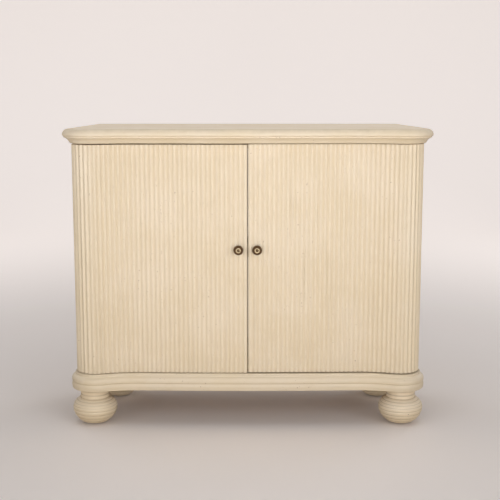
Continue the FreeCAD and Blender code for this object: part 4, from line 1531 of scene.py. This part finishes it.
def stage_material():
    material, tree, shader = new_material("pale_stage")
    seen = looked_at(tree)
    tree.links.new(mixed(tree, seen, STAGE_BOUNCE, STAGE_SEEN), shader.inputs["Base Color"])
    away = add(tree, "ShaderNodeVectorMath", {0: place(tree)}, operation="LENGTH").outputs["Value"]
    glow = times(tree, ramp(tree, away, GLOW_NEAR, GLOW_FAR), seen)
    tree.links.new(mixed(tree, glow, (0, 0, 0), STAGE_GLOW), shader.inputs["Emission Color"])
    shader.inputs["Emission Strength"].default_value = 1.0
    shader.inputs["Roughness"].default_value = STAGE_ROUGHNESS
    shader.inputs["Specular IOR Level"].default_value = STAGE_SPECULAR
    return material


line = [(FLOOR_FRONT, 0)]
for step in range(COVE_STEPS + 1):
    angle = QUARTER * step / COVE_STEPS
    line.append((COVE_START + COVE_RADIUS * math.sin(angle), COVE_RADIUS * (1 - math.cos(angle))))
line.append((COVE_START + COVE_RADIUS, WALL_HEIGHT))
corners = [(x, y, z) for y, z in line for x in (-FLOOR_HALF, FLOOR_HALF)]
faces = [(2 * i, 2 * i + 1, 2 * i + 3, 2 * i + 2) for i in range(len(line) - 1)]
floor = object_from("pale_floor", shaded(mesh_from("pale_floor", corners, faces)))
floor.data.materials.append(stage_material())
print("stage:", 2 * FLOOR_HALF, "m wide, backdrop", WALL_HEIGHT, "m high")

# %% [markdown]
# ## Lamps and world
# Two large soft boxes stand left and right of the camera. A ceiling light and a low fill in front open up
# the shadows on the top and the feet, and two lamps behind show the back in other views. All of them are
# large, because a small lamp draws hard lines between the reeds. The world adds a little even light.

# %% Lamps and world
Lamp = collections.namedtuple("Lamp", "name place target size power spread")
LAMPS = (
    Lamp("left_softbox", (-1.9, -2.7, 1.6), (0, 0, 1.3), 2.6, 5.8, 75),
    Lamp("right_softbox", (1.9, -2.7, 1.6), (0, 0, 0.95), 2.6, 7.6, 75),
    Lamp("ceiling_bounce", (0, 0.2, 3.2), (0, 0.2, 0), 3.0, 27.0, 180),
    Lamp("left_back_fill", (-2.7, 2.5, 2.2), (0, 0.2, 0.5), 1.6, 10.0, 180),
    Lamp("right_back_fill", (2.7, 2.5, 2.2), (0, 0.2, 0.5), 1.6, 15.0, 180),
    Lamp("front_fill", (0, -3.3, 0.6), (0, 0, 0.95), 1.6, 8.6, 65),
)
WORLD_LIGHT = (0.260, 0.256, 0.250)
WORLD_SEEN = (0.763, 0.704, 0.683)

for lamp in LAMPS:
    light = bpy.data.lights.new(lamp.name, "AREA")
    light.shape = "SQUARE"
    light.size = lamp.size
    light.energy = lamp.power
    light.spread = math.radians(lamp.spread)
    holder = object_from(lamp.name, light)
    holder.location = lamp.place
    aim = Vector(lamp.target) - Vector(lamp.place)
    holder.rotation_euler = aim.to_track_quat("-Z", "Y").to_euler()
world = bpy.data.worlds.new("soft_room")
scene.world = world
world.use_nodes = True
sky = world.node_tree.nodes["Background"]
room = mixed(world.node_tree, looked_at(world.node_tree), WORLD_LIGHT, WORLD_SEEN)
world.node_tree.links.new(room, sky.inputs["Color"])
scene.view_settings.view_transform = "Standard"
print("lamps:", len(LAMPS), "with", round(sum(lamp.power for lamp in LAMPS), 1), "W in all")

# %% [markdown]
# ## Camera
# The camera looks slightly down at the front from a little over a metre up. Its focal length was measured
# in pixels of a square frame, so it is turned into millimetres of Blender's sensor here.

# %% Camera
FOCAL_PIXELS = 1050
FRAME_PIXELS = 500
CAMERA_PLACE = (0.007, -3.424, 1.094)
CAMERA_DOWN = math.radians(9.2)
SENSOR_WIDTH = 36

camera = bpy.data.cameras.new("camera")
camera.sensor_width = SENSOR_WIDTH
camera.lens = FOCAL_PIXELS / FRAME_PIXELS * SENSOR_WIDTH
eye = object_from("camera", camera)
eye.location = CAMERA_PLACE
eye.rotation_euler = (QUARTER - CAMERA_DOWN, 0, 0)
scene.camera = eye
print("camera:", round(camera.lens, 1), "mm")
